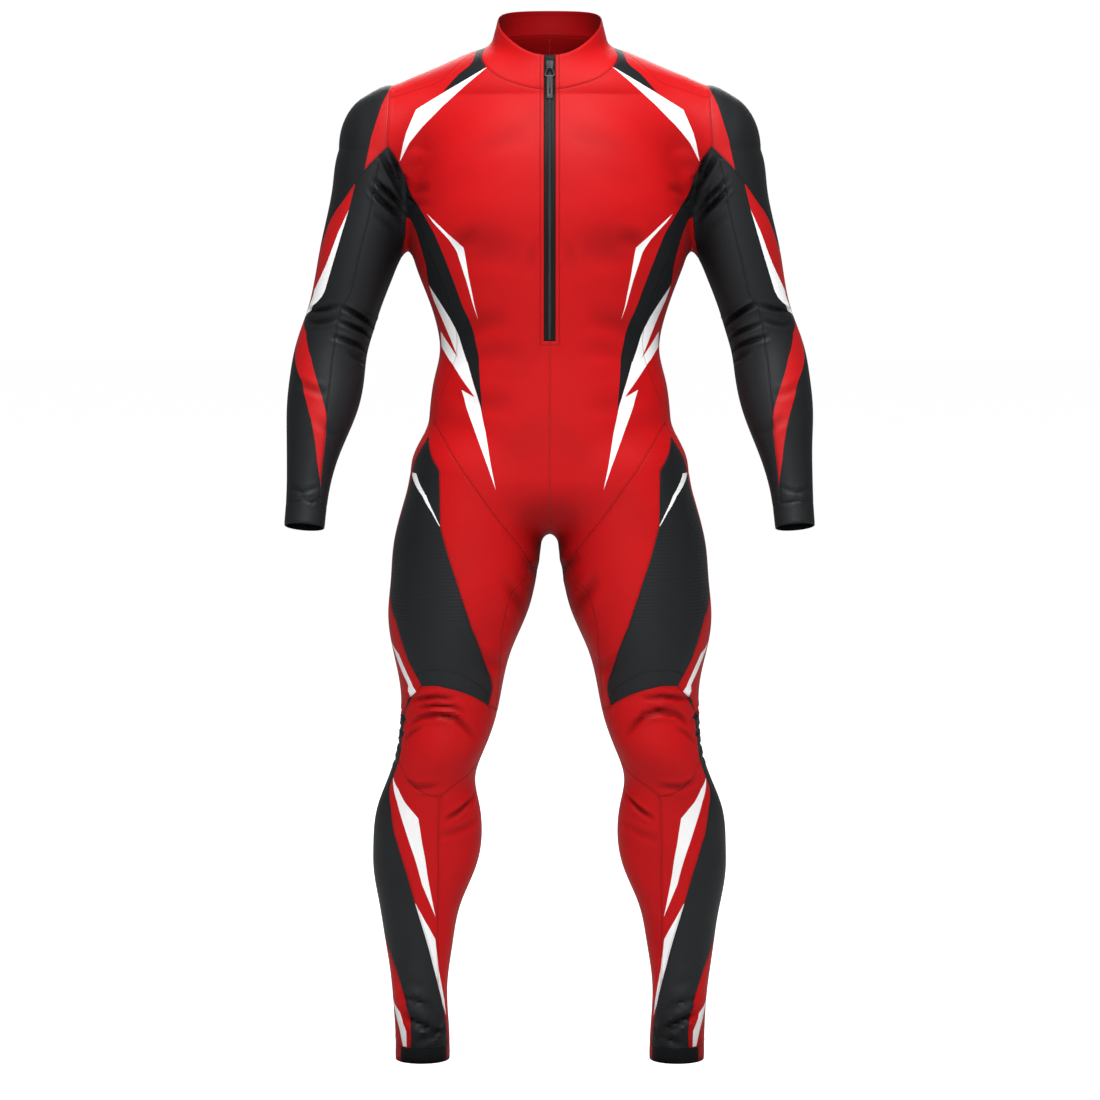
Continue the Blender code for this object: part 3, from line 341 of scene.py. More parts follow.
# Side views of the collar: heights of its seam and of its top edge, from front to back.
necklineLine = table(
    "depth height",
    (-1200, -1000), (-882, -637), (-829, -560), (-747, -450), (-582, -290), (-120, -50), (300, 80),
    (750, 180), (1200, 220))
collarTopLine = table(
    "depth height",
    (-1000, -380), (-742, -156), (-546, 25), (-250, 235), (200, 435), (660, 525), (1000, 560))
shoulderSeamLine = table(
    "reach depth",
    (0, -200), (1100, -200), (1270, -360), (1450, -460), (1730, -440), (2300, -380))
shoulderSeamEnd = -0.16   # below this height the front meets the back along the side seam
sideSeamLine = table(
    "height depth",
    (-1600, -200), (-2000, -280), (-2300, -520), (-2580, -655), (-3430, -710), (-3980, -640), (-4550, -560),
    (-4920, -470), (-5240, -380), (-5500, -380), (-6000, -260), (-6800, -140), (-7700, -130))
inseamTop = -0.62
inseamDepth = 0.010
hipSeamLine = table(
    "reach height",
    (0, -7560), (120, -7480), (236, -7332), (362, -7100), (600, -6780), (930, -6340), (1280, -5850),
    (1410, -5650), (1650, -5240), (2400, -4000))
seatSeamLine = table(
    "reach height",
    (0, -7580), (120, -7490), (300, -7380), (700, -7200), (1200, -6900), (1650, -6450), (1940, -5980),
    (2400, -5400))
legSplitHeight = -0.766   # just below the seams between trunk and leg
sleeveCapSeam = table(
    "reach height",
    (2000, -1160), (2270, -1430), (2590, -1750), (2730, -1930), (2940, -2220), (3105, -2470), (3214, -2740),
    (3280, -2910), (3600, -3300))
forearmWay = np.array((0.075, -0.275, -0.958))     # direction of the right arm's last stretch, x outward


# Degrees round a limb of the right side: 0 in front, 90 at the outer side, -90 at the inner side.
def angleRound(rows, points):
    middleX = smooth(rows, "centreX", points[:, 2]) if "centreX" in rows else 0.0
    middleY = smooth(rows, "centreY", points[:, 2])
    return np.degrees(np.arctan2(np.abs(points[:, 0]) - middleX, middleY - points[:, 1]))


def overNeckline(points):
    return points[:, 2] - smooth(necklineLine, "height", points[:, 1])


def overCollar(points):
    return points[:, 2] - smooth(collarTopLine, "height", points[:, 1])


def armhole(points):
    return np.abs(points[:, 0]) - straight(armholeLine, "reach", points[:, 2])


# Less than 0 on the front: along the shoulder seam, the side seam and, inside the legs, the inseam.
def frontOrBack(points):
    across = np.abs(points[:, 0])
    upper = smooth(shoulderSeamLine, "depth", across)
    lower = smooth(sideSeamLine, "depth", points[:, 2])
    inside = (points[:, 2] < inseamTop) & (across < smooth(legForm, "centreX", points[:, 2]))
    lower = np.where(inside, inseamDepth, lower)
    return points[:, 1] - np.where(points[:, 2] > shoulderSeamEnd, upper, lower)


# Height over a seam that a front view gives as height by distance from the middle.
def heightOver(rows):
    return lambda points: points[:, 2] - smooth(rows, "height", np.abs(points[:, 0]))


# Height over a crosswise seam that a table gives by the angle round the limb.
def overRound(limb, rows):
    return lambda points: points[:, 2] - straight(rows, "height", angleRound(limb, points))


# Distance along the forearm past the middle of the sleeve's open end.
def alongForearm(points):
    end = smooth(armForm, "centreX", cuffEndHeight), smooth(armForm, "centreY", cuffEndHeight), cuffEndHeight
    return (np.column_stack([np.abs(points[:, 0]), points[:, 1:]]) - end) @ forearmWay


# Angles round a limb by height, for the seams that run along it.
sleeveFront = table(
    "height angle",
    (-1400, -5), (-2000, -3), (-2990, -2), (-3480, -5), (-3675, 3), (-3890, 1), (-4280, -8), (-5040, -10),
    (-5520, -20), (-5940, -31), (-6400, -42))
sleeveBack = table(
    "height angle",
    (-1400, -165), (-6400, -165))
thighPanelFront = table(
    "height angle",
    (-5500, 60), (-5930, 32), (-6290, 28), (-6720, 24), (-7220, 12), (-7700, -1), (-8120, -14),
    (-8620, -34), (-9050, -54), (-9300, -52), (-9600, -52))
thighPanelSide = table(
    "height angle",
    (-5400, 100), (-6200, 92), (-6800, 92), (-7660, 84), (-8070, 61), (-8630, 46), (-8990, 32), (-9300, 26))
thighInnerFront = table(
    "height angle",
    (-7200, -76), (-7330, -68), (-7617, -49), (-7880, -43), (-8285, -47), (-8800, -60), (-9500, -74))
thighInnerBack = table(
    "height angle",
    (-7000, -104), (-7660, -98), (-10000, -100))
kneeTop = table(
    "angle height",
    (-180, -9620), (-120, -9550), (-70, -9380), (-52, -9300), (-25, -9130), (-9, -9050), (13, -8980),
    (31, -8990), (45, -9133), (56, -9206), (63, -9400), (90, -9520), (180, -9620))
lowerSide = table(
    "height angle",
    (-8900, 26), (-8990, 32), (-9130, 45), (-9400, 63), (-9800, 65), (-10090, 60), (-10500, 65),
    (-10790, 54), (-11160, 46), (-11540, 33), (-11740, 25), (-12180, 7), (-12605, -10), (-13110, -31),
    (-13565, -52), (-13930, -65), (-14600, -72))
lowerInner = table(
    "height angle",
    (-9000, -100), (-14600, -112))
kneeBottom = table(
    "angle height",
    (-180, -10000), (-100, -10080), (-71, -10153), (-38, -10405), (-16, -10600), (-2, -10584), (19, -10480),
    (38, -10316), (49, -10164), (70, -10050), (180, -10000))
shinSeam = table(
    "height angle",
    (-10500, -16), (-11390, -17), (-12130, -29), (-13030, -42), (-14600, -60))
calfRear = table(
    "height angle",
    (-10000, 262), (-10450, 228), (-11000, 200), (-11700, 165), (-12300, 118), (-12770, 77), (-13090, 55),
    (-13430, 37), (-13800, 24), (-14000, 21), (-14600, 26))


# Less than 0 in the strip of a limb between two lengthwise seams, in metres round the limb.
# An end that is already cut goes some degrees past that seam, so that it isn't cut twice.
def strip(limb, start, end, before=0, after=0):
    def value(points):
        first = straight(start, "angle", points[:, 2]) - before
        last = straight(end, "angle", points[:, 2]) + after
        turn = (angleRound(limb, points) - (first + last) / 2 + 180) % 360 - 180
        return np.radians(np.abs(turn) - (last - first) / 2) * smooth(limb, "halfWidth", points[:, 2])
    return value


# The cage smoothed by subdivision and moved onto the form: points, triangles and what they belong to.
def fineHalf():
    cage = halfCage()
    mesh = bpy.data.meshes.new("cage")
    cage.to_mesh(mesh)
    cage.free()
    shape = newObject("cage", mesh)
    smoothing = shape.modifiers.new("smooth", "SUBSURF")
    smoothing.levels = smoothing.render_levels = cloth["levels"]
    smoothing.boundary_smooth = "PRESERVE_CORNERS"
    bpy.context.view_layer.update()
    fine = bpy.data.meshes.new_from_object(shape.evaluated_get(bpy.context.evaluated_depsgraph_get()))
    points = np.empty(len(fine.vertices) * 3)
    fine.vertices.foreach_get("co", points)
    corners = np.empty(len(fine.loops), dtype=np.int64)
    fine.loops.foreach_get("vertex_index", corners)
    bpy.data.objects.remove(shape)
    bpy.data.meshes.remove(mesh)
    bpy.data.meshes.remove(fine)
    points = points.reshape(-1, 3)
    quads = corners.reshape(-1, 4)
    triangles = np.concatenate([quads[:, [0, 1, 2]], quads[:, [0, 2, 3]]])
    middle = np.abs(points[:, 0]) < 1e-6
    points = ontoForm(points, 5)
    points[middle, 0] = 0.0
    across = np.cross(points[triangles[:, 1]] - points[triangles[:, 0]],
                      points[triangles[:, 2]] - points[triangles[:, 0]])
    if (across * slope(points[triangles].mean(axis=1))).sum() < 0:
        triangles = triangles[:, ::-1]
    return {"points": points, "triangles": triangles, "middle": middle, "seams": {}, "names": ["suit"],
            "region": np.zeros(len(triangles), dtype=int), "locked": np.zeros(len(points), dtype=bool)}


# The three sides of each triangle, in the triangle's direction.
def sidesOf(triangles):
    return np.concatenate([triangles[:, [0, 1]], triangles[:, [1, 2]], triangles[:, [2, 0]]])


# Every edge of some triangles once, with the number of triangles on it.
def edgesOf(triangles):
    return np.unique(np.sort(sidesOf(triangles), axis=1), axis=0, return_counts=True)


def lengths(ways):
    return np.sqrt((ways ** 2).sum(axis=1))


# One region cut in two along a seam. The points nearest to the seam move onto it.
def cut(suit, region, seam, below, above):
    names = suit["names"]
    chosen = np.flatnonzero(suit["region"] == names.index(region))
    triangles = suit["triangles"][chosen]
    inside = np.unique(triangles)
    points = suit["points"]
    value = np.zeros(len(points))
    value[inside] = seam(points[inside])
    edges, _ = edgesOf(triangles)
    edges = edges[value[edges[:, 0]] * value[edges[:, 1]] < 0]
    share = value[edges[:, 0]] / (value[edges[:, 0]] - value[edges[:, 1]])
    crossing = points[edges[:, 0]] * (1 - share[:, None]) + points[edges[:, 1]] * share[:, None]
    first = share < 0.5
    near = np.where(first, edges[:, 0], edges[:, 1])
    far = np.where(first, edges[:, 1], edges[:, 0])
    stays = suit["locked"][near] | (suit["middle"][near] & ~suit["middle"][far])
    order = np.argsort(-lengths(crossing - points[near]))
    order = order[~stays[order]]
    moved = near[order]
    points[moved] = crossing[order]
    moved = np.unique(moved)
    onForm = ontoForm(points[moved], 3)
    onForm[suit["middle"][moved], 0] = 0.0
    points[moved] = onForm
    value[near] = 0.0
    total = value[triangles].sum(axis=1)
    unsure = total == 0
    if unsure.any():
        total[unsure] = seam(points[triangles[unsure]].mean(axis=1))
    for name in (below, above):
        if name not in names:
            names.append(name)
    under = total < 0
    suit["region"][chosen] = np.where(under, names.index(below), names.index(above))
    low, lowCount = edgesOf(triangles[under])
    high, highCount = edgesOf(triangles[~under])
    both = np.concatenate([low[lowCount == 1], high[highCount == 1]])
    shared, times = np.unique(both, axis=0, return_counts=True)
    shared = shared[times == 2]
    suit["locked"][np.unique(shared)] = True
    return shared


def rename(suit, region, name):
    if name not in suit["names"]:
        suit["names"].append(name)
    suit["region"][suit["region"] == suit["names"].index(region)] = suit["names"].index(name)


# A sewn line that joins nothing: the region is cut and put together again.
def sewnLine(suit, region, seam):
    edges = cut(suit, region, seam, "oneSide", "otherSide")
    rename(suit, "oneSide", region)
    rename(suit, "otherSide", region)
    return edges


# Less than 0 in the slot of the zip, on the front only.
def zipSlot(points):
    return np.where(points[:, 1] < 0, np.abs(points[:, 0]) - zipWidth / 2, np.abs(points[:, 1]) + zipWidth)


# Every seam of the right half, from the neck down, with its edges kept by name.
def cutOutPieces(suit):
    seams = suit["seams"]

    def cutAll(*rows):
        for name, region, seam, below, above in rows:
            seams[name] = cut(suit, region, seam, below, above)

    cutAll(
        ("neckline", "suit", overNeckline, "suit", "collar"),
        ("collarTop", "collar", overCollar, "collar", "waste"),
        ("collarZip", "collar", zipSlot, "zipTape", "collar"),
        ("armhole", "suit", armhole, "trunk", "arm"),
        ("capSeam", "arm", heightOver(sleeveCapSeam), "sleeve", "sleeveCap"),
        ("cuffEnd", "sleeve", alongForearm, "sleeve", "waste"),
        ("cuffTop", "sleeve", lambda p: alongForearm(p) + cuffHeight, "sleeve", "cuff"),
        ("sleeveSeams", "sleeve", strip(armForm, sleeveBack, sleeveFront), "sleeveInner", "sleeveOuter"))
    cut(suit, "trunk", lambda p: p[:, 2] - legSplitHeight, "leg", "trunk")
    cutAll(
        ("sideSeam", "trunk", frontOrBack, "front", "back"),
        ("hipSeam", "front", heightOver(hipSeamLine), "frontLeg", "front"),
        ("seatSeam", "back", heightOver(seatSeamLine), "backLeg", "back"))
    rename(suit, "frontLeg", "leg")
    rename(suit, "backLeg", "thighBack")
    cutAll(
        ("zipSides", "front", zipSlot, "zipColumn", "front"),
        ("zipEnd", "zipColumn", lambda p: p[:, 2] - zipEndHeight, "front", "zipTape"))
    lowest = suit["points"][seams["zipSides"], 2].min(axis=1)
    seams["zipSides"] = seams["zipSides"][lowest > zipEndHeight - 0.0005]
    suit["locked"][:] = False           # the lines that only helped are let go
    for edges in seams.values():
        suit["locked"][np.unique(edges)] = True

    cutAll(
        ("kneeTop", "leg", overRound(legForm, kneeTop), "lowerLeg", "thigh"),
        ("panelSeams", "thigh", strip(legForm, thighPanelFront, thighPanelSide), "thighPanel", "thigh"),
        ("innerFront", "thigh", strip(legForm, thighInnerFront, thighPanelFront, after=pastSeam),
         "thighFront", "thigh"),
        ("innerBack", "thigh", strip(legForm, thighInnerBack, thighInnerFront, after=pastSeam),
         "thighInner", "thighBack"),
        ("hemEnd", "lowerLeg", lambda p: p[:, 2] - hemEndHeight, "waste", "lowerLeg"),
        ("hemTop", "lowerLeg", lambda p: p[:, 2] - hemEndHeight - hemHeight, "hem", "lowerLeg"),
        ("calfSeams", "lowerLeg", strip(legForm, lowerInner, lowerSide), "lowerFront", "lowerBack"),
        ("kneeBottom", "lowerFront", overRound(legForm, kneeBottom), "shin", "knee"),
        ("shinSeam", "shin", strip(legForm, shinSeam, lowerSide, after=pastSeam), "shinOuter", "shinInner"),
        ("calfRear", "lowerBack", strip(legForm, lowerSide, calfRear, before=pastSeam),
         "calfPanel", "calfBack"))
    seams["panelArc"] = sewnLine(suit, "thighPanel", overRound(legForm, panelArc))
    seams["kneeLine"] = sewnLine(suit, "knee", strip(legForm, kneeInnerLine, lowerSide, after=40))
    joined = [suit["names"].index(name) for name in ("front", "back", "thighInner")]
    edges, _ = edgesOf(suit["triangles"][np.isin(suit["region"], joined)])
    seams["centre"] = edges[suit["middle"][edges].all(axis=1)]


# Values at the points, some of them moved towards the mean of their neighbours.
def evened(values, edges, free, share=0.5):
    total = np.zeros_like(values)
    near = np.zeros(len(values))
    for a, b in ((0, 1), (1, 0)):
        np.add.at(total, edges[:, a], values[edges[:, b]])
        np.add.at(near, edges[:, a], 1)
    out = values.copy()
    out[free] += share * (total[free] / near[free][:, None] - values[free])
    return out


# Points that no seam holds are evened out, so that the triangles keep a good shape.
def evenOut(suit, rounds=3):
    edges, count = edgesOf(suit["triangles"])
    free = ~suit["locked"] & ~suit["middle"]
    free[np.unique(edges[count == 1])] = False
    for _ in range(rounds):
        suit["points"] = evened(suit["points"], edges, free)
        suit["points"][free] = ontoForm(suit["points"][free], 1)
    beside = np.unique(np.concatenate([suit["seams"]["zipSides"], suit["seams"]["collarZip"]]))
    suit["points"][beside, 0] = -zipWidth / 2
    calm = free & nearArmholeFold(suit["points"])
    for _ in range(cloth["calmRounds"]):
        suit["points"] = evened(suit["points"], edges, calm)


# The tight hollow beside the front of the armhole, where the form is too sharp for cloth.
armholeFold = {"across": 0.188, "height": -0.183, "radius": 0.036}


def nearArmholeFold(points):
    across, height = np.abs(points[:, 0]) - armholeFold["across"], points[:, 2] - armholeFold["height"]
    return (points[:, 1] < 0.0) & (across ** 2 + height ** 2 < armholeFold["radius"] ** 2)


# Sewn lines that join nothing: an arc across the thigh panel and a line up the inside of the knee.
panelArc = table(
    "angle height",
    (-180, -9450), (-60, -9300), (-40, -9030), (-24, -8910), (-8, -8800), (6, -8760), (24, -8750),
    (37, -8820), (60, -9050), (180, -9450))
kneeInnerLine = table(
    "height angle",
    (-8900, -48), (-9300, -52), (-9840, -70), (-10200, -76), (-10600, -80))

# Creases of the worn cloth. Each is a soft trough with a low ridge on both sides, along a short line
# round a limb, given by width and depth in millimetres and then by pairs of a height in millimetres and
# an angle in degrees. The groups underarm and chest are seen from the front, by x and z in millimetres.
creases = {
    "underarm": (
        (5.4, 2.3, -202, -226, -210, -202, -222, -179, -236, -153),
        (5.2, 2.3, -203, -232, -215, -217, -230, -202, -247, -187),
        (5.2, 2, -205, -243, -220, -231, -236, -217, -253, -200),
        (4.8, 2, -204, -208, -209, -186, -215, -166, -221, -148),
        (7, 0.8, -214, -256, -230, -246, -246, -234)),
    "arm": (
        (5, 1.8, -371, 74, -372, 61, -369, 29, -363, 6), (5, 1.6, -385, 62, -388, 40, -386, 20, -381, 2),
        (5, 2.4, -366, 6, -372, -14, -382, -38, -397, -78),
        (4.5, 2.2, -386, 2, -392, -20, -400, -45, -412, -84),
        (5, 1.9, -407, 4, -412, -18, -420, -45, -432, -80), (6, 1.2, -428, -30, -440, -55, -448, -88),
        (8, 0.9, -469, 50, -480, 22, -488, -6), (9, 0.8, -522, 10, -540, -25, -548, -60),
        (4.5, 0.9, -617, 58, -624, 14, -618, -34), (4, 0.7, -634, -60, -637, -20, -631, 20),
        (6.5, 1.8, -222, -112, -205, -134, -186, -158),
        (5.5, 1.6, -240, -104, -226, -130, -214, -160, -206, -182),
        (7, 1.2, -262, -108, -255, -140, -262, -172), (6, 1.7, -392, -92, -384, -122, -371, -150),
        (5.5, 1.5, -411, -96, -407, -128, -398, -158, -392, -182),
        (8, 0.9, -352, 104, -362, 138, -366, 168), (9, 0.8, -470, -120, -482, -150, -480, -185),
        (4.5, 0.8, -622, 96, -628, 140, -624, 186)),
    "chest": (
        (10, 0.8, -203, -178, -192, -168, -176, -160), (10, 0.8, -196, -211, -184, -204, -166, -199),
        (9, 0.5, -192, -226, -181, -221, -165, -221),
        (38, 0.8, -160, -256, -126, -268, -90, -276, -50, -280, -12, -282),
        (15, 0.5, -137, -282, -121, -270, -100, -261), (10, 0.3, -14, -268, -24, -289, -28, -320),
        (22, 0.6, -139, -402, -97, -386, -55, -380), (18, 0.45, -116, -434, -76, -425, -36, -428),
        (20, 0.55, -141, -482, -97, -497, -42, -501), (16, 0.12, -16, -634, -26, -652, -36, -684),
        (22, 0.35, -120, -150, -74, -134, -30, -122)),
    "trunk": (
        (9, 1.1, -184, 106, -178, 116, -166, 128), (9, 1, -222, 106, -216, 118, -206, 134),
        (12, 1.1, -262, 100, -272, 124, -290, 150), (13, 1.3, -372, 104, -384, 132, -392, 164),
        (11, 1.5, -404, 98, -414, 126, -420, 160, -420, 178), (12, 1.2, -438, 102, -448, 134, -452, 168),
        (15, 0.9, -300, 140, -330, 158, -352, 176), (14, 1.3, -676, 132, -690, 148, -694, 166),
        (10, 0.9, -120, 118, -140, 132, -168, 144)),
    "leg": (
        (5.5, 1.5, -922, 52, -918, 36, -914, 16, -917, -8),
        (5, 1.3, -931, 40, -927, 20, -928, -4, -937, -22),
        (6, 1.7, -960, 52, -944, 34, -939, 11, -944, -9, -963, -29, -976, -44),
        (5, 1, -982, 58, -966, 44, -956, 30), (7, 1, -1034, 40, -1046, 16, -1044, -14),
        (6, 1.5, -1096, -18, -1086, -34, -1075, -50, -1062, -72),
        (8, 0.8, -1120, -10, -1112, -36, -1096, -66), (5, 1, -938, 96, -946, 74, -955, 54),
        (5, 1.2, -960, 104, -966, 80, -974, 58), (5, 1.1, -984, 108, -988, 82, -994, 62),
        (5.5, 0.8, -1010, 104, -1012, 84, -1016, 66), (7, 1.8, -952, 120, -957, 150, -958, 182, -953, 214),
        (6.5, 2, -976, 112, -981, 144, -980, 178, -974, 216),
        (7, 1.7, -998, 118, -1005, 150, -1006, 186, -998, 224),
        (7.5, 1.7, -1024, 124, -1032, 156, -1030, 192), (8, 1.2, -930, 140, -934, 170, -930, 200),
        (8, 1, -1060, 140, -1070, 172, -1064, 206), (7.5, 1.9, -1352, 46, -1359, 19, -1365, -8, -1372, -40),
        (7.5, 2.2, -1380, 44, -1391, 14, -1400, -14, -1411, -46),
        (6.5, 1.9, -1420, 12, -1413, -22, -1402, -60), (10, 0.6, -1330, 30, -1336, 4, -1344, -24),
        (5, 1.4, -1362, 130, -1372, 160, -1374, 190), (5, 1.3, -1394, 120, -1402, 156, -1400, 196),
        (5, 1, -1340, 150, -1348, 180, -1346, 212), (5, 1, -1412, 86, -1419, 118, -1421, 152),
        (14, 1, -742, -30, -770, -46, -800, -70), (12, 0.9, -716, -48, -734, -66, -746, -92),
        (15, 0.8, -850, -20, -868, -44, -872, -72), (16, 1.2, -716, 120, -726, 150, -724, 182, -716, 214),
        (14, 0.9, -752, 132, -764, 164, -762, 200), (12, 0.8, -870, 128, -882, 158, -880, 192),
        (10, 0.8, -742, -104, -760, -126, -772, -152))}


# Where a height and an angle round a limb lie on the form, on the wearer's right.
def roundLimb(rows, height, angle):
    turn = np.radians(angle)
    level = np.clip(height, next(iter(rows.values()))[0], next(iter(rows.values()))[-1])
    depth = np.where(np.cos(turn) > 0, smooth(rows, "front", level), smooth(rows, "back", level))
    middle = smooth(rows, "centreX", level) if "centreX" in rows else 0.0
    across = middle + smooth(rows, "halfWidth", level) * np.sin(turn)
    deep = smooth(rows, "centreY", level) - depth * np.cos(turn)
    return ontoForm(np.column_stack([-across, deep, height]), 6)


# Where lines seen from the front lie on the form, from their x and z.
def fromFront(across, height):
    depths = np.linspace(-0.16, 0.02, 181)
    rows = np.column_stack([np.repeat(across, 181), np.tile(depths, len(across)), np.repeat(height, 181)])
    first = np.argmax(form(rows).reshape(-1, 181) < 0, axis=1)
    return ontoForm(np.column_stack([across, depths[first], height]), 2)


# Distance from points to a line of several points, and how far along the line each lies, 0 to 1.
def besideLine(points, line):
    best = np.full(len(points), np.inf)
    along = np.zeros(len(points))
    runs = lengths(np.diff(line, axis=0))
    done = 0.0
    for start, end, run in zip(line[:-1], line[1:], runs):
        way = (end - start) / run
        share = np.clip((points - start) @ way, 0, run)
        away = lengths(points - start - share[:, None] * way)
        nearer = away < best
        along = np.where(nearer, (done + share) / runs.sum(), along)
        best = np.minimum(best, away)
        done += run
    return best, along


# How far each point moves out along its normal, for the right or the left half. A group of creases
# goes by its limb's form, or by none where its lines are seen from the front.
def relief(points, left):
    out = np.zeros(len(points))
    limbs = {"underarm": None, "arm": armForm, "chest": None, "trunk": torsoForm, "leg": legForm}
    sleeveShare = np.clip(0.5 + armhole(points) / 0.005, 0, 1)
    tall, apart, soft = cloth["ridge"]
    for limb, rows in creases.items():
        share = sleeveShare if limb.endswith("arm") else 1 - sleeveShare
        for number, (width, depth, *line) in enumerate(rows):
            one, two = (np.reshape(line, (-1, 2)) / (1000, 1 if limbs[limb] else 1000)).T
            if left:                    # the left side creases much as the right does, but not the same
                swing = np.sin(2.4 * number + len(limb))
                turned = np.cos(1.7 * number) * np.linspace(1, -1, len(two))
                one = one + 0.004 * swing
                two = two + (3.0 if limbs[limb] else 0.003) * turned
                depth = depth * (1 + 0.25 * swing)
            fine = np.linspace(0, len(one) - 1, 4 * len(one) - 3)
            one, two = (np.interp(fine, np.arange(len(part)), part) for part in (one, two))
            path = roundLimb(limbs[limb], one, two) if limbs[limb] else fromFront(one, two)
            width = width * cloth["creaseWidth"]
            reach = 4 * width / 1000
            near = np.all((points > path.min(axis=0) - reach) & (points < path.max(axis=0) + reach), axis=1)
            if not near.any():
                continue
            away, along = besideLine(points[near], path)
            fade = np.sin(np.pi * np.clip(along, 0, 1)) ** 0.7
            away = away / (width / 1000)
            profile = tall * np.exp(-((away - apart) / soft) ** 2) - np.exp(-away ** 2)
            out[near] += cloth["creaseDepth"] * depth / 1000 * profile * fade * share[near]
    x, y, z = points.T
    shift = (1.3 if left else 0.0) * np.clip(-x / 0.08, 0, 1)
    wave = np.sin(31 * z + 9 * x + shift) * np.sin(23 * x - 17 * z + 40 * y + 2 * shift)
    return out + cloth["waves"] * (wave + 0.5 * np.sin(57 * z - 46 * x + 30 * y + shift))


# Distance from each point to the nearest sewn line or open end.
def seamDistance(points, suit):
    steps = np.linspace(0, 1, 5)
    marks = [points[edges[:, 0]] * (1 - t) + points[edges[:, 1]] * t for edges in suit["seams"].values()
             for t in steps if len(edges)]
    marks = np.concatenate(marks)
    tree = KDTree(len(marks))
    for number, mark in enumerate(marks):
        tree.insert(mark, number)
    tree.balance()
    return np.array([tree.find(point)[2] for point in points])


print("cloth: cutting the fine surface along the seams")
suit = fineHalf()
cutOutPieces(suit)
evenOut(suit)
surface = {"points": suit["points"], "normal": normals(suit["points"])}
edges, _ = edgesOf(suit["triangles"])
for _ in range(cloth["calmRounds"]):
    surface["normal"] = evened(surface["normal"], edges, nearArmholeFold(suit["points"]))
surface["normal"] /= lengths(surface["normal"])[:, None]
surface["seam"] = seamDistance(suit["points"], suit)
surface["dip"] = cloth["seamDip"] * np.exp(-(surface["seam"] / cloth["seamDipWidth"]) ** 2)
for side in ("right", "left"):
    lift = relief(suit["points"], side == "left")
    surface[side] = suit["points"] + surface["normal"] * (lift - surface["dip"])[:, None]
    # Painted shade in the creases: 0 to 1 by how deep a point lies in a crease; the material darkens its
    # colour by it.
    surface["creaseShade", side] = np.clip(-lift / cloth["foldDepth"], 0, 1)
surface["left"][suit["middle"]] = surface["right"][suit["middle"]]
openEnds = np.zeros(len(suit["points"]), dtype=bool)
for end in ("collarTop", "cuffEnd", "hemEnd"):
    openEnds[np.unique(suit["seams"][end])] = True
print("cloth:", len(suit["triangles"]), "triangles on one half")


def meshFrom(name, points, triangles):
    mesh = bpy.data.meshes.new(name)
    mesh.vertices.add(len(points))
    mesh.vertices.foreach_set("co", np.ascontiguousarray(points, dtype=np.float32).ravel())
    mesh.loops.add(3 * len(triangles))
    mesh.loops.foreach_set("vertex_index", np.ascontiguousarray(triangles, dtype=np.int32).ravel())
    mesh.polygons.add(len(triangles))
    mesh.polygons.foreach_set("loop_start", np.arange(0, 3 * len(triangles), 3, dtype=np.int32))
    mesh.update(calc_edges=True)
    mesh.validate()
    return newObject(name, mesh)


def addValues(mesh, name, values):
    kind = "FLOAT" if values.ndim == 1 else "FLOAT_VECTOR"
    field = mesh.attributes.new(name, kind, "POINT")
    field.data.foreach_set("value" if kind == "FLOAT" else "vector", values.astype(np.float32).ravel())


# Edges on a piece's outline, in the direction of the triangles they belong to.
def outlineOf(triangles):
    sides = sidesOf(triangles)
    _, place, count = np.unique(np.sort(sides, axis=1), axis=0, return_inverse=True, return_counts=True)
    return sides[count[place.ravel()] == 1]


# Angles round a piece without a jump inside it, where the piece leaves a gap for the jump.
def unbroken(angle):
    turn = np.sort(angle)
    gaps = np.diff(np.append(turn, turn[0] + 360))
    widest = int(np.argmax(gaps[:-1]))
    if gaps[widest] < 5 or gaps[-1] > gaps[widest]:
        return angle
    cutAngle = turn[widest] + gaps[widest] / 2
    if cutAngle < 0:
        return np.where(angle < cutAngle, angle + 360, angle)
    return np.where(angle > cutAngle, angle - 360, angle)


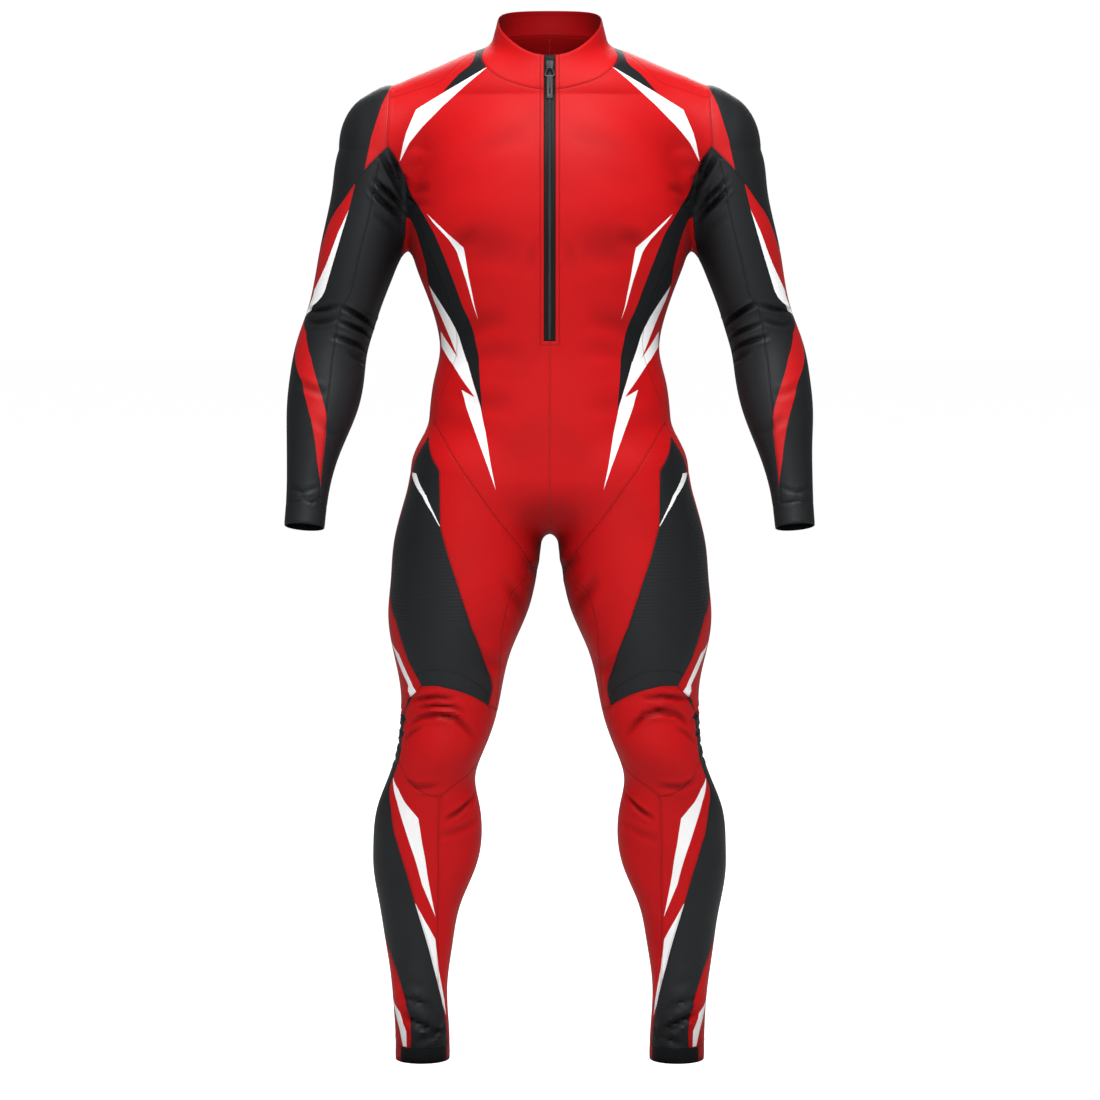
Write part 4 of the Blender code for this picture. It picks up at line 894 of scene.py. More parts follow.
# A region as a closed thin shell: outer face, inner face and a rounded rim between them.
def clothShell(region, name, side, limb, welded=False, sunk=0.0, thickness=None):
    thickness = thickness or cloth["thickness"]
    chosen = suit["triangles"][suit["region"] == suit["names"].index(region)]
    used, local = np.unique(chosen, return_inverse=True)
    triangles = local.reshape(-1, 3)
    points = surface[side][used]
    facing = surface["normal"][used]
    place = suit["points"][used]
    band = np.column_stack([np.abs(place[:, 0]), place[:, 2], unbroken(angleRound(limb, place))])
    seam = surface["seam"][used]
    creaseShade = surface["creaseShade", side][used]
    ends = openEnds[used]
    if welded:                          # the left half is added, joined along the middle
        middle = suit["middle"][used]
        twin = np.where(middle, np.arange(len(used)), len(used) + np.cumsum(~middle) - 1)
        mirror = ~middle
        points = np.concatenate([points, surface["left"][used][mirror] * (-1, 1, 1)])
        facing = np.concatenate([facing, facing[mirror] * (-1, 1, 1)])
        band, seam, ends = (np.concatenate([part, part[mirror]]) for part in (band, seam, ends))
        creaseShade = np.concatenate([creaseShade, surface["creaseShade", "left"][used][mirror]])
        triangles = np.concatenate([triangles, twin[triangles][:, ::-1]])
    rim = outlineOf(triangles)
    along = points[rim[:, 1]] - points[rim[:, 0]]
    inward = np.zeros_like(points)
    for corner in (0, 1):
        way = np.cross(facing[rim[:, corner]], along)
        np.add.at(inward, rim[:, corner], way / np.maximum(lengths(way), 1e-9)[:, None])
    inward /= np.maximum(lengths(inward), 1e-9)[:, None]
    outer = points + inward * cloth["seamGap"] / 2 - facing * sunk
    inner = outer - facing * thickness
    count = len(points)
    edge = np.unique(rim)
    middleOf = np.zeros(count, dtype=int)
    middleOf[edge] = 2 * count + np.arange(len(edge))
    bulge = np.where(ends[edge], cloth["roundedEdge"], cloth["seamGap"] * 0.3)
    halfway = (outer[edge] + inner[edge]) / 2 - inward[edge] * bulge[:, None]
    first, last = rim.T
    walls = [(last, first, middleOf[first]), (last, middleOf[first], middleOf[last]),
             (middleOf[last], middleOf[first], first + count), (middleOf[last], first + count, last + count)]
    faces = np.concatenate([triangles, triangles[:, ::-1] + count, *map(np.column_stack, walls)])
    every = np.concatenate([outer, inner, halfway])
    if side == "left" and not welded:
        every = every * (-1, 1, 1)
        faces = faces[:, ::-1]
    shell = meshFrom(name, every, faces)
    shell.data.shade_smooth()
    shell.data.set_sharp_from_angle(angle=np.radians(55))
    for label, part in (("band", band), ("seam", seam), ("creaseShade", creaseShade)):
        addValues(shell.data, label, np.concatenate([part, part, part[edge]]))
    addValues(shell.data, "inside", np.concatenate([np.zeros(count), np.ones(count), np.zeros(len(edge))]))
    return shell


# Each piece of cloth: its node, finish, limb, flat width, length and area, and what it is sewn to.
# The cut is smaller than the worn piece, because the knit is stretched.
clothPieces = {
    "front": ("front", "redFront", torsoForm, 0.26, 0.74, 0.1025, "back"),
    "back": ("back", "redBack", torsoForm, 0.36, 0.79, 0.175, "front"),
    "sleeveCap": ("sleeve_cap", "blackCap", armForm, 0.22, 0.24, 0.0287, "sleeveOuter"),
    "sleeveOuter": ("sleeve_outer", "blackSleeve", armForm, 0.18, 0.52, 0.0675, "sleeveInner"),
    "sleeveInner": ("sleeve_inner", "blackSleeve", armForm, 0.17, 0.50, 0.0535, "sleeveOuter"),
    "cuff": ("cuff", "blackPlain", armForm, 0.18, 0.033, 0.0049, "sleeveOuter"),
    "thighPanel": ("thigh_panel", "blackPanel", legForm, 0.14, 0.40, 0.0347, "thighFront"),
    "thighFront": ("thigh_front", "redLeg", legForm, 0.12, 0.40, 0.0221, "thighPanel"),
    "thighInner": ("thigh_inner", "redPlain", legForm, 0.10, 0.22, 0.013, "thighFront"),
    "thighBack": ("thigh_back", "redLeg", legForm, 0.28, 0.42, 0.079, "thighInner"),
    "knee": ("knee", "redPlain", legForm, 0.16, 0.17, 0.0202, "thighPanel"),
    "shinOuter": ("shin_outer", "redLeg", legForm, 0.08, 0.34, 0.0119, "shinInner"),
    "shinInner": ("shin_inner", "redLeg", legForm, 0.11, 0.42, 0.0271, "shinOuter"),
    "calfPanel": ("calf_panel", "blackPlain", legForm, 0.26, 0.52, 0.0574, "calfBack"),
    "calfBack": ("calf_back", "redLeg", legForm, 0.19, 0.43, 0.042, "calfPanel"),
    "hem": ("hem", "hemBand", legForm, 0.26, 0.024, 0.0056, "calfPanel")}


# Colours and surfaces.
finish = {
    "red": (0.48, 0.0042, 0.0058),
    "black": (0.0085, 0.0096, 0.0112),
    "tape": (0.0045, 0.0048, 0.0054),
    "white": (0.92, 0.92, 0.92),
    "gloss": {"red": 0.12, "black": 0.26, "tape": 0.15},
    "shadeReach": 0.11,        # painted shade: how far away other cloth still darkens the colour of a close place
    "wale": 0.0011,            # width of a column of loops in the knit
    "course": 0.0008,
    "placket": 0.0133,         # topstitching beside the zip, from the middle
    "placketEnd": -0.4180,     # and below it
    "inkEdge": 0.00025,        # softness of a print's edge
    "inkRelief": 0.00004,      # how high a print stands
    "seamRelief": 0.00030,
    # painted shade in the bottom of a seam's groove
    "seamShade": 0.34,
    "knitRelief": 0.000035,
    "ribRelief": 0.00011,
    "ribPitch": 0.0049,
}

# Prints: height, outer edge, inner edge, in tenths of a millimetre. Trunk and sleeve prints go by the
# distance from the middle.
trunkBlack = (
    ((-1830, 2200, 2041), (-2090, 2200, 1938), (-2330, 2169, 1781), (-2430, 1953, 1723),
     (-2610, 1871, 1615), (-2900, 1783, 1491), (-3100, 1731, 1411), (-3320, 1708, 1328),
     (-3570, 1590, 1236), (-3790, 1415, 1146), (-4060, 1285, 1048), (-4360, 1180, 991), (-4680, 1073, 971),
     (-5120, 948, 948)),
    ((300, 940, 860), (-60, 1028, 922), (-230, 1073, 874), (-300, 1126, 859), (-410, 1267, 1020),
     (-500, 1348, 1160), (-670, 1496, 1496)))
trunkWhite = (
    ((-3350, 1700, 1700), (-3570, 1630, 1553), (-3800, 1528, 1401), (-4070, 1411, 1275),
     (-4445, 1263, 1150)),
    ((-4000, 1541, 1541), (-4220, 1531, 1394), (-4410, 1409, 1263), (-4415, 1400, 1152),
     (-4880, 1073, 1017), (-4920, 1050, 1008)),
    ((-4810, 1237, 1237), (-4900, 1212, 1073), (-4910, 1207, 1011), (-5030, 1175, 973), (-5380, 1049, 896),
     (-5850, 873, 821), (-6210, 749, 749)),
    ((-2350, 1718, 1718), (-2470, 1630, 1589), (-2710, 1412, 1338), (-2830, 1329, 1202),
     (-2890, 1293, 1184), (-3260, 1167, 1117), (-3850, 1000, 1000)),
    ((-310, 859, 859), (-570, 1298, 1164), (-680, 1487, 1287), (-860, 1785, 1486), (-910, 1865, 1535),
     (-1140, 1967, 1767), (-1230, 2005, 1845), (-1370, 2045, 1958), (-1640, 2100, 2100)))
capRed = (
    ((-200, 2205, 1500), (-520, 2209, 1500), (-860, 2358, 1500), (-1300, 2494, 1500), (-1740, 2590, 1500),
     (-2000, 2640, 1500)),)
sleeveRed = (
    ((-1940, 4500, 2723), (-2290, 4500, 2810), (-2620, 4500, 2969), (-3070, 4500, 3147),
     (-3430, 4500, 3325), (-3670, 4500, 3408)),)
sleeveWhite = (
    ((-2290, 2810, 2810), (-2620, 2969, 2911), (-2860, 3062, 2984), (-3070, 3147, 3050),
     (-3430, 3325, 3162), (-3520, 3347, 3210), (-3680, 3410, 3359), (-3800, 3466, 3460)),)
# Forearm and leg prints go by degrees round the limb.
forearmRed = (
    ((-3810, 87, 87), (-4020, 87, 54), (-4370, 69, 28), (-4680, 42, 13), (-5140, 19, -11), (-5230, 14, -14),
     (-5800, -13, -28), (-6180, -38, -38)),)
panelWhite = (
    ((-6000, 75, 62), (-6300, 46, 41), (-6530, 33, 31), (-6710, 25, 24)),)
legWhite = (
    ((-8380, 85, 85), (-8560, 72, 61), (-8810, 61, 51), (-8970, 53, 45), (-9010, 52, 44), (-9090, 54, 39),
     (-9120, 52, 38), (-9240, 48, 46)),
    ((-10360, 62, 61), (-10510, 54, 45), (-10690, 45, 33), (-10920, 37, 13), (-11300, 24, 6),
     (-11740, 6, -6), (-11890, 0, -11), (-12390, -29, -29)),
    ((-12180, 7, 6), (-12430, -2, -11), (-12720, -12, -32), (-12850, -17, -35), (-13190, -31, -45),
     (-13650, -54, -64), (-13880, -68, -68)),
    ((-13610, 85, 85), (-13790, 68, 48), (-14060, 52, 33), (-14290, 43, 33)))
hemBlack = (
    ((-14000, 50, -64), (-15000, 50, -64)),)


# A number inside a node tree. Sums of such numbers become math nodes.
class Number:
    def __init__(self, socket):
        self.socket = socket

    def math(self, operation, *others, clamp=False):
        return mathNode(self.socket.id_data, operation, self, *others, clamp=clamp)

    def __add__(self, other):
        return self.math("ADD", other)

    def __sub__(self, other):
        return self.math("SUBTRACT", other)

    def __rsub__(self, other):
        return mathNode(self.socket.id_data, "SUBTRACT", other, self)

    def __mul__(self, other):
        return self.math("MULTIPLY", other)

    def __truediv__(self, other):
        return self.math("DIVIDE", other)

    def __pow__(self, other):
        return self.math("POWER", other)

    def __abs__(self):
        return self.math("ABSOLUTE")

    def scaled(self, factor, offset):
        return self.math("MULTIPLY_ADD", factor, offset)


def feed(value, socket):
    if isinstance(value, Number):
        value = value.socket
    if isinstance(value, bpy.types.NodeSocket):
        socket.id_data.links.new(value, socket)
    elif isinstance(value, tuple) and len(value) == 3 and socket.type == "RGBA":
        socket.default_value = (*value, 1.0)
    else:
        socket.default_value = value


def feedAll(node, inputs):
    for name, value in inputs.items():
        feed(value, node.inputs[name])


# A node with some of its inputs set or linked, each given by its name or number.
def newNode(tree, kind, inputs):
    node = tree.nodes.new("ShaderNode" + kind)
    feedAll(node, inputs)
    return node


def mathNode(tree, operation, *values, clamp=False):
    node = newNode(tree, "Math", dict(enumerate(values)))
    node.operation = operation
    node.use_clamp = clamp
    return Number(node.outputs[0])


def outputs(node, *names):
    found = [Number(node.outputs[name]) for name in names]
    return found if len(found) > 1 else found[0]


def mixed(tree, share, first, second):
    node = tree.nodes.new("ShaderNodeMix")
    node.data_type = "RGBA"
    for value, name in ((share, "Factor_Float"), (first, "A_Color"), (second, "B_Color")):
        feed(value, next(socket for socket in node.inputs if socket.identifier == name))
    return next(socket for socket in node.outputs if socket.identifier == "Result_Color")


def attribute(tree, name, output="Fac"):
    node = newNode(tree, "Attribute", {})
    node.attribute_name = name
    return outputs(node, output)


def newMaterial(name):
    material = bpy.data.materials.new(name)
    material.use_nodes = True
    return material, material.node_tree, material.node_tree.nodes["Principled BSDF"]


def addBump(tree, shader, height, distance):
    bump = newNode(tree, "Bump", {"Distance": distance, "Height": height})
    feed(bump.outputs[0], shader.inputs["Normal"])


def newGroup(name, inputs, results):
    group = bpy.data.node_groups.new(name, "ShaderNodeTree")
    for socket, value in inputs.items():
        made = group.interface.new_socket(socket, in_out="INPUT", socket_type="NodeSocketFloat")
        made.default_value = value
    for socket in results:
        group.interface.new_socket(socket, in_out="OUTPUT", socket_type="NodeSocketFloat")
    return group, group.nodes.new("NodeGroupInput"), group.nodes.new("NodeGroupOutput")


def useGroup(tree, group, inputs):
    node = tree.nodes.new("ShaderNodeGroup")
    node.node_tree = group
    feedAll(node, inputs)
    return node


# Knitted loops seen from the three main directions, blended by how the surface faces.
def knitGroup():
    group, start, end = newGroup("knit", {"Wale": 0.001, "Course": 0.001}, ("Height", "Tint"))
    wale, course = outputs(start, "Wale", "Course")
    place = group.nodes.new("ShaderNodeTexCoord")
    x, y, z = outputs(newNode(group, "SeparateXYZ", {0: place.outputs["Object"]}), 0, 1, 2)
    facing = outputs(newNode(group, "SeparateXYZ", {0: place.outputs["Normal"]}), 0, 1, 2)
    heights, weights = [], []
    for u, v, way in zip((y, x, x), (z, z, y), facing):
        side = abs((u / wale).math("FRACT") - 0.5) * 2.0
        loop = ((v / course + side * 0.45) * fullTurn).math("SINE")
        heights.append((1.0 - side ** 2.0) * loop.scaled(0.3, 0.7))
        weights.append(abs(way) ** 4.0)
    height = heights[0] * weights[0]
    for more, weight in zip(heights[1:], weights[1:]):
        height = more.scaled(weight, height)
    feed(height / (weights[0] + weights[1] + weights[2]), end.inputs["Height"])
    broad = newNode(group, "TexNoise", {"Vector": place.outputs["Object"], "Scale": 5.0, "Detail": 3.0})
    speck = newNode(group, "TexNoise", {"Vector": place.outputs["Object"], "Scale": 420.0})
    feed(outputs(broad, "Fac") * 0.7 + outputs(speck, "Fac") * 0.3, end.inputs["Tint"])
    return group


# The pulled-in line of a seam with the allowance under the cloth beside it.
# Its second output is painted shade: it darkens the colour along the bottom of the seam's groove.
def seamGroup():
    group, start, end = newGroup("seamLine", {"Distance": 1.0}, ("Height", "PaintedShade"))
    away = outputs(start, "Distance")

    def bell(width):
        share = away / width
        return (share * share * -1.0).math("EXPONENT")
    allowance = newNode(group, "MapRange", {"Value": away, "From Min": 0.0048, "From Max": 0.0066,
                                            "To Min": 0.35, "To Max": 0.0})
    allowance.interpolation_type = "SMOOTHSTEP"
    feed(outputs(allowance, 0) - bell(0.0010), end.inputs["Height"])
    feed(bell(0.0008).scaled(-finish["seamShade"], 1.0), end.inputs["PaintedShade"])
    return group


knit = knitGroup()
seamLine = seamGroup()


# A printed blade: 1 inside the two edges that its rows give, and 0 outside.
def blade(height, across, rows, unit, soft):
    rows = np.array(sorted(rows)) / (tenths, unit, unit)
    level, edges = rows[:, 0], rows[:, 1:]
    bottom, top, low, high = level[0], level[-1], edges.min(), edges.max()
    level, edges = (level - bottom) / (top - bottom), (edges - low) / (high - low)
    share = (height - bottom) / (top - bottom)
    place = (across - low) / (high - low)
    found = []
    for column in edges.T:
        curve = newNode(height.socket.id_data, "FloatCurve", {"Value": share})
        line = curve.mapping.curves[0]
        while len(line.points) < len(level):
            line.points.new(0.5, 0.5)
        for point, where, value in zip(line.points, level, column):
            point.location = (where, value)
            point.handle_type = "VECTOR"
        curve.mapping.update()
        found.append(outputs(curve, 0))
    within = (found[0] - place).math("MINIMUM", place - found[1])
    mask = within.math("MULTIPLY", (high - low) / soft, clamp=True)
    return mask * (share.math("GREATER_THAN", 0.0) * share.math("LESS_THAN", 1.0))


# How far a place lies from the row of topstitching that runs round the zip.
def besidePlacket(across, height, angle):
    beyond = (finish["placketEnd"] - height).math("MAXIMUM", 0.0)
    outside = (across - finish["placket"]).math("MAXIMUM", 0.0)
    beside = beyond.scaled(9.0, abs(across - finish["placket"]))
    below = outside.scaled(9.0, abs(height - finish["placketEnd"]))
    return beside.math("MINIMUM", below) + angle.math("GREATER_THAN", 60.0)


# Ribs across the thigh panel, stronger towards its top and gone near its sewn arc.
def ribWaves(height):
    zone = newNode(height.socket.id_data, "FloatCurve", {"Value": (height + 0.872) / 0.262})
    zone.mapping.extend = "HORIZONTAL"
    curve = zone.mapping.curves[0]
    curve.points[1].location = (1.0, 0.0)
    for where, much in ((0.12, 0.0), (0.34, 1.0), (0.85, 0.9)):
        curve.points.new(where, much)
    zone.mapping.update()
    return (height * (fullTurn / finish["ribPitch"])).math("SINE") * outputs(zone, 0)


# Stretch knit in one colour, with prints laid over it in the order given.
# Its colour also carries painted shade: in seams, in creases, where other cloth is close and on the inner
# face.
def knitMaterial(name, base, *layers, ribs=False, placket=False):
    material, tree, shader = newMaterial(name)
    band = newNode(tree, "SeparateXYZ", {0: attribute(tree, "band", "Vector")})
    across, height, angle = outputs(band, 0, 1, 2)
    weave = useGroup(tree, knit, {"Wale": finish["wale"], "Course": finish["course"]})
    loops, tint = outputs(weave, "Height", "Tint")
    away = attribute(tree, "seam")
    # The topstitching beside the zip is drawn like a seam: a groove with painted shade.
    if placket:
        away = away.math("MINIMUM", besidePlacket(across, height, angle))
    pulled, toneAndPaintedShade = outputs(useGroup(tree, seamLine, {"Distance": away}), "Height", "PaintedShade")
    colour = finish[base]
    printed = None
    for ink, kind, blades in layers:
        where, unit, soft = (across, tenths, finish["inkEdge"]) if kind == "across" else (angle, 1, 0.25)
        for rows in blades:
            mask = blade(height, where, rows, unit, soft)
            colour = mixed(tree, mask, colour, finish[ink])
            printed = printed.math("MAXIMUM", mask) if printed else mask
    relief = pulled.scaled(finish["seamRelief"], loops * finish["knitRelief"])
    if printed:
        relief = printed.scaled(finish["inkRelief"], relief)
    if ribs:
        relief = ribWaves(height).scaled(finish["ribRelief"], relief)
    # Painted shade inside the suit: the inner face has the plain colour, a quarter darker.
    inside = attribute(tree, "inside").math("GREATER_THAN", 0.5)
    colour = mixed(tree, inside, colour, tuple(0.75 * part for part in finish[base]))
    # Random tone of the knit, times the painted shade of the seam and of the creases.
    toneAndPaintedShade = toneAndPaintedShade * tint.scaled(0.16, 0.92) * attribute(tree, "creaseShade").scaled(-cloth["foldShade"], 1.0)
    # Painted shade: ambient occlusion darkens the colour, and dims the gloss, where other cloth is close.
    near = newNode(tree, "AmbientOcclusion", {"Distance": finish["shadeReach"]})
    near.samples = 6
    near = outputs(near, "AO") ** 1.5
    hue = newNode(tree, "HueSaturation", {"Color": colour, "Value": toneAndPaintedShade * near.scaled(0.80, 0.22)})
    addBump(tree, shader, relief, 1.0)
    feedAll(shader, {"Base Color": hue.outputs[0], "Specular IOR Level": near * finish["gloss"][base],
                     "Roughness": tint.scaled(0.2, 0.42), "Sheen Weight": 0.02, "Sheen Roughness": 0.4})
    return material


trunkPrints = (("black", "across", trunkBlack), ("white", "across", trunkWhite))
sleevePrints = (("red", "across", sleeveRed), ("red", "angle", forearmRed), ("white", "across", sleeveWhite))
materials = {
    "redFront": knitMaterial("red knit front", "red", *trunkPrints, placket=True),
    "redCollar": knitMaterial("red knit collar", "red", placket=True),
    "redBack": knitMaterial("red knit back", "red", *trunkPrints),
    "redPlain": knitMaterial("red knit", "red"),
    "redLeg": knitMaterial("red knit leg", "red", ("white", "angle", legWhite)),
    "blackCap": knitMaterial("black knit cap", "black", ("red", "across", capRed)),
    "blackSleeve": knitMaterial("black knit sleeve", "black", *sleevePrints),
    "blackPanel": knitMaterial("black knit panel", "black", ("white", "angle", panelWhite), ribs=True),
    "blackPlain": knitMaterial("black knit", "black"),
    "zipTape": knitMaterial("woven zip tape", "tape"),
    "hemBand": knitMaterial("hem knit", "red", ("black", "angle", hemBlack))}

print("cloth: one shell for each piece")


def dress(piece, node, material, body="suit"):
    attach(piece, body)
    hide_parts(node)
    piece.data.materials.clear()
    piece.data.materials.append(material)


for region, (node, look, limb, width, length, area, neighbour) in clothPieces.items():
    for side in ("right", "left"):
        shell = clothShell(region, f"{region}Cloth_{side}", side, limb)
        slot = "red_knit" if look.startswith("red") else "black_knit"
        dress(shell, f"{node}_{side}", materials[look])
collar = clothShell("collar", "collarCloth", "right", torsoForm, welded=True)
dress(collar, "collar", materials["redCollar"])
tape = clothShell("zipTape", "zipTapeCloth", "right", torsoForm, welded=True, sunk=cloth["tapeSunk"],
                  thickness=cloth["tapeThickness"])
dress(tape, "zip_tape", materials["zipTape"])


# Rows of stitches along each seam: how far from it, and the thread's colour. Most have one on both sides.
stitching = {
    "pitch": 0.0030,
    "length": 0.0021,
    "width": 0.00050,
    "height": 0.00026,
    "lift": 0.00004,
    "shortest": 0.012,         # a shorter seam has no stitches
    "reach": 0.004,            # how far along the line its direction is measured
    "rows": {
        "neckline": (0.0022, "red"), "armhole": (0.0024, "black"), "capSeam": (0.0022, "black"),
        "cuffTop": (0.0012, "black"), "sleeveSeams": (0.0018, "black"), "hipSeam": (0.0022, "red"),
        "seatSeam": (0.0022, "red"), "kneeTop": (0.0022, "black"), "panelSeams": (0.0020, "black"),
        "innerFront": (0.0018, "red"), "innerBack": (0.0018, "red"), "hemTop": (0.0014, "black"),
        "calfSeams": (0.0020, "black"), "kneeBottom": (0.0020, "red"), "shinSeam": (0.0026, "red"),
        "calfRear": (0.0020, "black"), "panelArc": (0.0, "black"), "kneeLine": (0.0, "red"),
        "zipSides": (0.0052, "red"), "collarZip": (0.0052, "red"), "zipEnd": (0.0052, "red")},
    "outsideZip": ("zipSides", "collarZip", "zipEnd"),     # these have one row, outside the zip
}


# Loose edges put in order, end to end.
def chainsOf(edges):
    beside = {}
    for a, b in edges:
        beside.setdefault(int(a), []).append(int(b))
        beside.setdefault(int(b), []).append(int(a))
    left = {tuple(sorted((int(a), int(b)))) for a, b in edges}
    chains = []
    starts = [v for v, near in beside.items() if len(near) != 2] + list(beside)
    for start in starts:
        for step in beside[start]:
            if tuple(sorted((start, step))) not in left:
                continue
            chain, here = [start], step
            left.discard(tuple(sorted((start, step))))
            while True:
                chain.append(here)
                further = [v for v in beside[here] if tuple(sorted((here, v))) in left]
                if len(beside[here]) != 2 or not further:
                    break
                left.discard(tuple(sorted((here, further[0]))))
                here = further[0]
            chains.append(chain)
    return chains


# Values along a line, at some distances along it.
def spread(where, run, values):
    return np.column_stack([np.interp(where, run, column) for column in values.T])


# Each stitch is a small spindle of 12 triangles that lies on the cloth.
def stitchMesh(name, side, colour):
    skin = BVHTree.FromPolygons(surface[side].tolist(), suit["triangles"].tolist())
    spindle = [(-0.5, 0, 0), (0.5, 0, 0)]
    spindle += [(at, 0.5 * np.cos(t), np.sin(t)) for at in (-0.28, 0.28) for t in np.radians((90, 210, 330))]
    spindle = np.array(spindle) * (stitching["length"], stitching["width"], stitching["height"])
    facets = [(0, 3, 2), (0, 4, 3), (0, 2, 4), (1, 5, 6), (1, 6, 7), (1, 7, 5)]
    for a, b in ((2, 3), (3, 4), (4, 2)):
        facets += [(a, b, b + 3), (a, b + 3, a + 3)]
    points, faces = [], []
    for seam, (offset, thread) in stitching["rows"].items():
        if thread != colour:
            continue
        outside = seam in stitching["outsideZip"]
        for chain in chainsOf(suit["seams"][seam]):
            line = surface[side][chain]
            run = np.concatenate([[0], np.cumsum(lengths(np.diff(line, axis=0)))])
            if run[-1] < stitching["shortest"]:
                continue
            where = np.arange(0.5 * stitching["pitch"], run[-1], stitching["pitch"])
            middle = spread(where, run, line)
            out = spread(where, run, surface["normal"][chain])
            ahead, behind = (spread(where + way * stitching["reach"], run, line) for way in (1, -1))
            along = ahead - behind
            along /= np.maximum(lengths(along), 1e-9)[:, None]
            beside = np.cross(out, along)
            if outside:
                away = np.abs((middle + beside * 0.002)[:, 0]) - np.abs(middle[:, 0]) - 0.0005
                beside = beside * np.where((-beside[:, 2] if seam == "zipEnd" else away) > 0, 1, -1)[:, None]
            for shift in (offset,) if outside or not offset else (-offset, offset):
                for place, way in zip(middle + beside * shift, along):
                    spot, normal, _, away = skin.find_nearest(Vector(place))
                    if spot is None or away > 0.004 or spot.x > -0.0004:
                        continue
                    up = np.array(normal)
                    flat = way - up * (way @ up)
                    flat /= np.linalg.norm(flat)
                    axes = np.array([flat, np.cross(up, flat), up])
                    faces += [[k + len(points) for k in facet] for facet in facets]
                    points += list(np.array(spot) + up * stitching["lift"] + spindle @ axes)
    points, faces = np.array(points), np.array(faces)
    if side == "left":
        points, faces = points * (-1, 1, 1), faces[:, ::-1]
    stitches = meshFrom(name, points, faces)
    stitches.data.shade_smooth()
    return stitches


# Sewing thread: two plies twisted round each other.
def threadMaterial(name, colour):
    material, tree, shader = newMaterial(name)
    place = tree.nodes.new("ShaderNodeTexCoord")
    wave = newNode(tree, "TexWave", {"Vector": place.outputs["Object"], "Scale": 900.0})
    wave.bands_direction = "DIAGONAL"
    twist = outputs(wave, "Fac")
    dark = tuple(0.55 * part for part in finish[colour])
    feedAll(shader, {"Base Color": mixed(tree, twist * 0.5, finish[colour], dark),
                     "Roughness": twist.scaled(0.15, 0.4)})
    addBump(tree, shader, twist, 0.0001)
    return material


threads = {colour: threadMaterial(f"{colour} thread", colour) for colour in ("red", "black")}
for side in ("right", "left"):
    for colour in ("red", "black"):
        stitches = stitchMesh(f"{colour}Stitches_{side}", side, colour)
        stitches.data.materials.append(threads[colour])
        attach(stitches, "suit")
        print("sewing:", stitches.name, len(stitches.data.polygons), "triangles")


zipParts = {
    "pitch": 0.00125,          # one element to the next on the same side
    "toothSize": (0.0023, 0.00072, 0.00085),
    "toothBevel": 0.00022,
    "toothShift": 0.00075,     # from the zip's middle to the middle of an element
    "toothSunk": 0.42,         # share of an element's height above the tape
    "start": 0.0200,           # below the top of the zip
    "longest": 0.44,
}


# The form's front point on the middle line at a height.
def frontPoint(height):
    depths = np.linspace(-0.16, -0.04, 241)
    rows = np.column_stack([np.zeros(241), depths, np.full(241, height)])
    value = form(rows)
    last = int(np.argmax(value < 0))
    share = value[last - 1] / (value[last - 1] - value[last])
    return Vector((0.0, depths[last - 1] + share * (depths[last] - depths[last - 1]), height))


# Height of the zip's upper end, where the middle line meets the collar's top edge.
def zipTop():
    low, high = -0.05, 0.02
    for _ in range(20):
        middle = (low + high) / 2
        if overCollar(np.array([frontPoint(middle)]))[0] < 0:
            low = middle
        else:
            high = middle
    return low


# The point of the zip a length below its top, measured along the cloth.
def zipPoint(length):
    step = 0.001
    point = frontPoint(zipTop())
    left = length
    while left > 0:
        below = frontPoint(point.z - step)
        run = (below - point).length
        point = point.lerp(below, min(1.0, left / run))
        left -= run
    return point


# The zip's middle line: points on the tape, the way down and the way out.
def zipLine(start, end, step):
    line = []
    point = zipPoint(start)
    at = start
    while at < end and point.z > zipEndHeight + 0.002:
        below = frontPoint(point.z - step * 0.97)
        line.append((np.array(point), np.array((below - point).normalized())))
        point = below
        at += step
    return line


# One modelled element, its length across the zip.
def oneTooth():
    bpy.ops.object.select_all(action="DESELECT")
    bpy.ops.mesh.primitive_cube_add(size=1.0)
    tooth = bpy.context.active_object
    bpy.ops.object.mode_set(mode="EDIT")
    bpy.ops.mesh.select_all(action="SELECT")
    bpy.ops.transform.resize(value=zipParts["toothSize"])
    bpy.ops.mesh.bevel(offset=zipParts["toothBevel"], segments=1, affect="EDGES")
    bpy.ops.mesh.quads_convert_to_tris()
    bpy.ops.object.mode_set(mode="OBJECT")
    points = np.array([v.co for v in tooth.data.vertices])
    faces = np.array([f.vertices for f in tooth.data.polygons])
    bpy.data.objects.remove(tooth)
    return points, faces


def zipChain():
    shape, facets = oneTooth()
    points, faces = [], []
    across = np.array((-1.0, 0.0, 0.0))
    lift = zipParts["toothSize"][2] * zipParts["toothSunk"] - cloth["tapeSunk"]
    line = zipLine(zipParts["start"], zipParts["longest"], zipParts["pitch"] / 2)
    for number, (middle, down) in enumerate(line):
        side = 1 if number % 2 else -1
        out = np.cross(across, down)
        spot = middle + across * side * zipParts["toothShift"] + out * lift
        faces += (facets + len(points)).tolist()
        points += list(spot + shape @ np.array([across, down, out]))
    chain = meshFrom("zipChain", np.array(points), np.array(faces))
    chain.data.shade_smooth()
    chain.data.set_sharp_from_angle(angle=np.radians(40))
    return chain


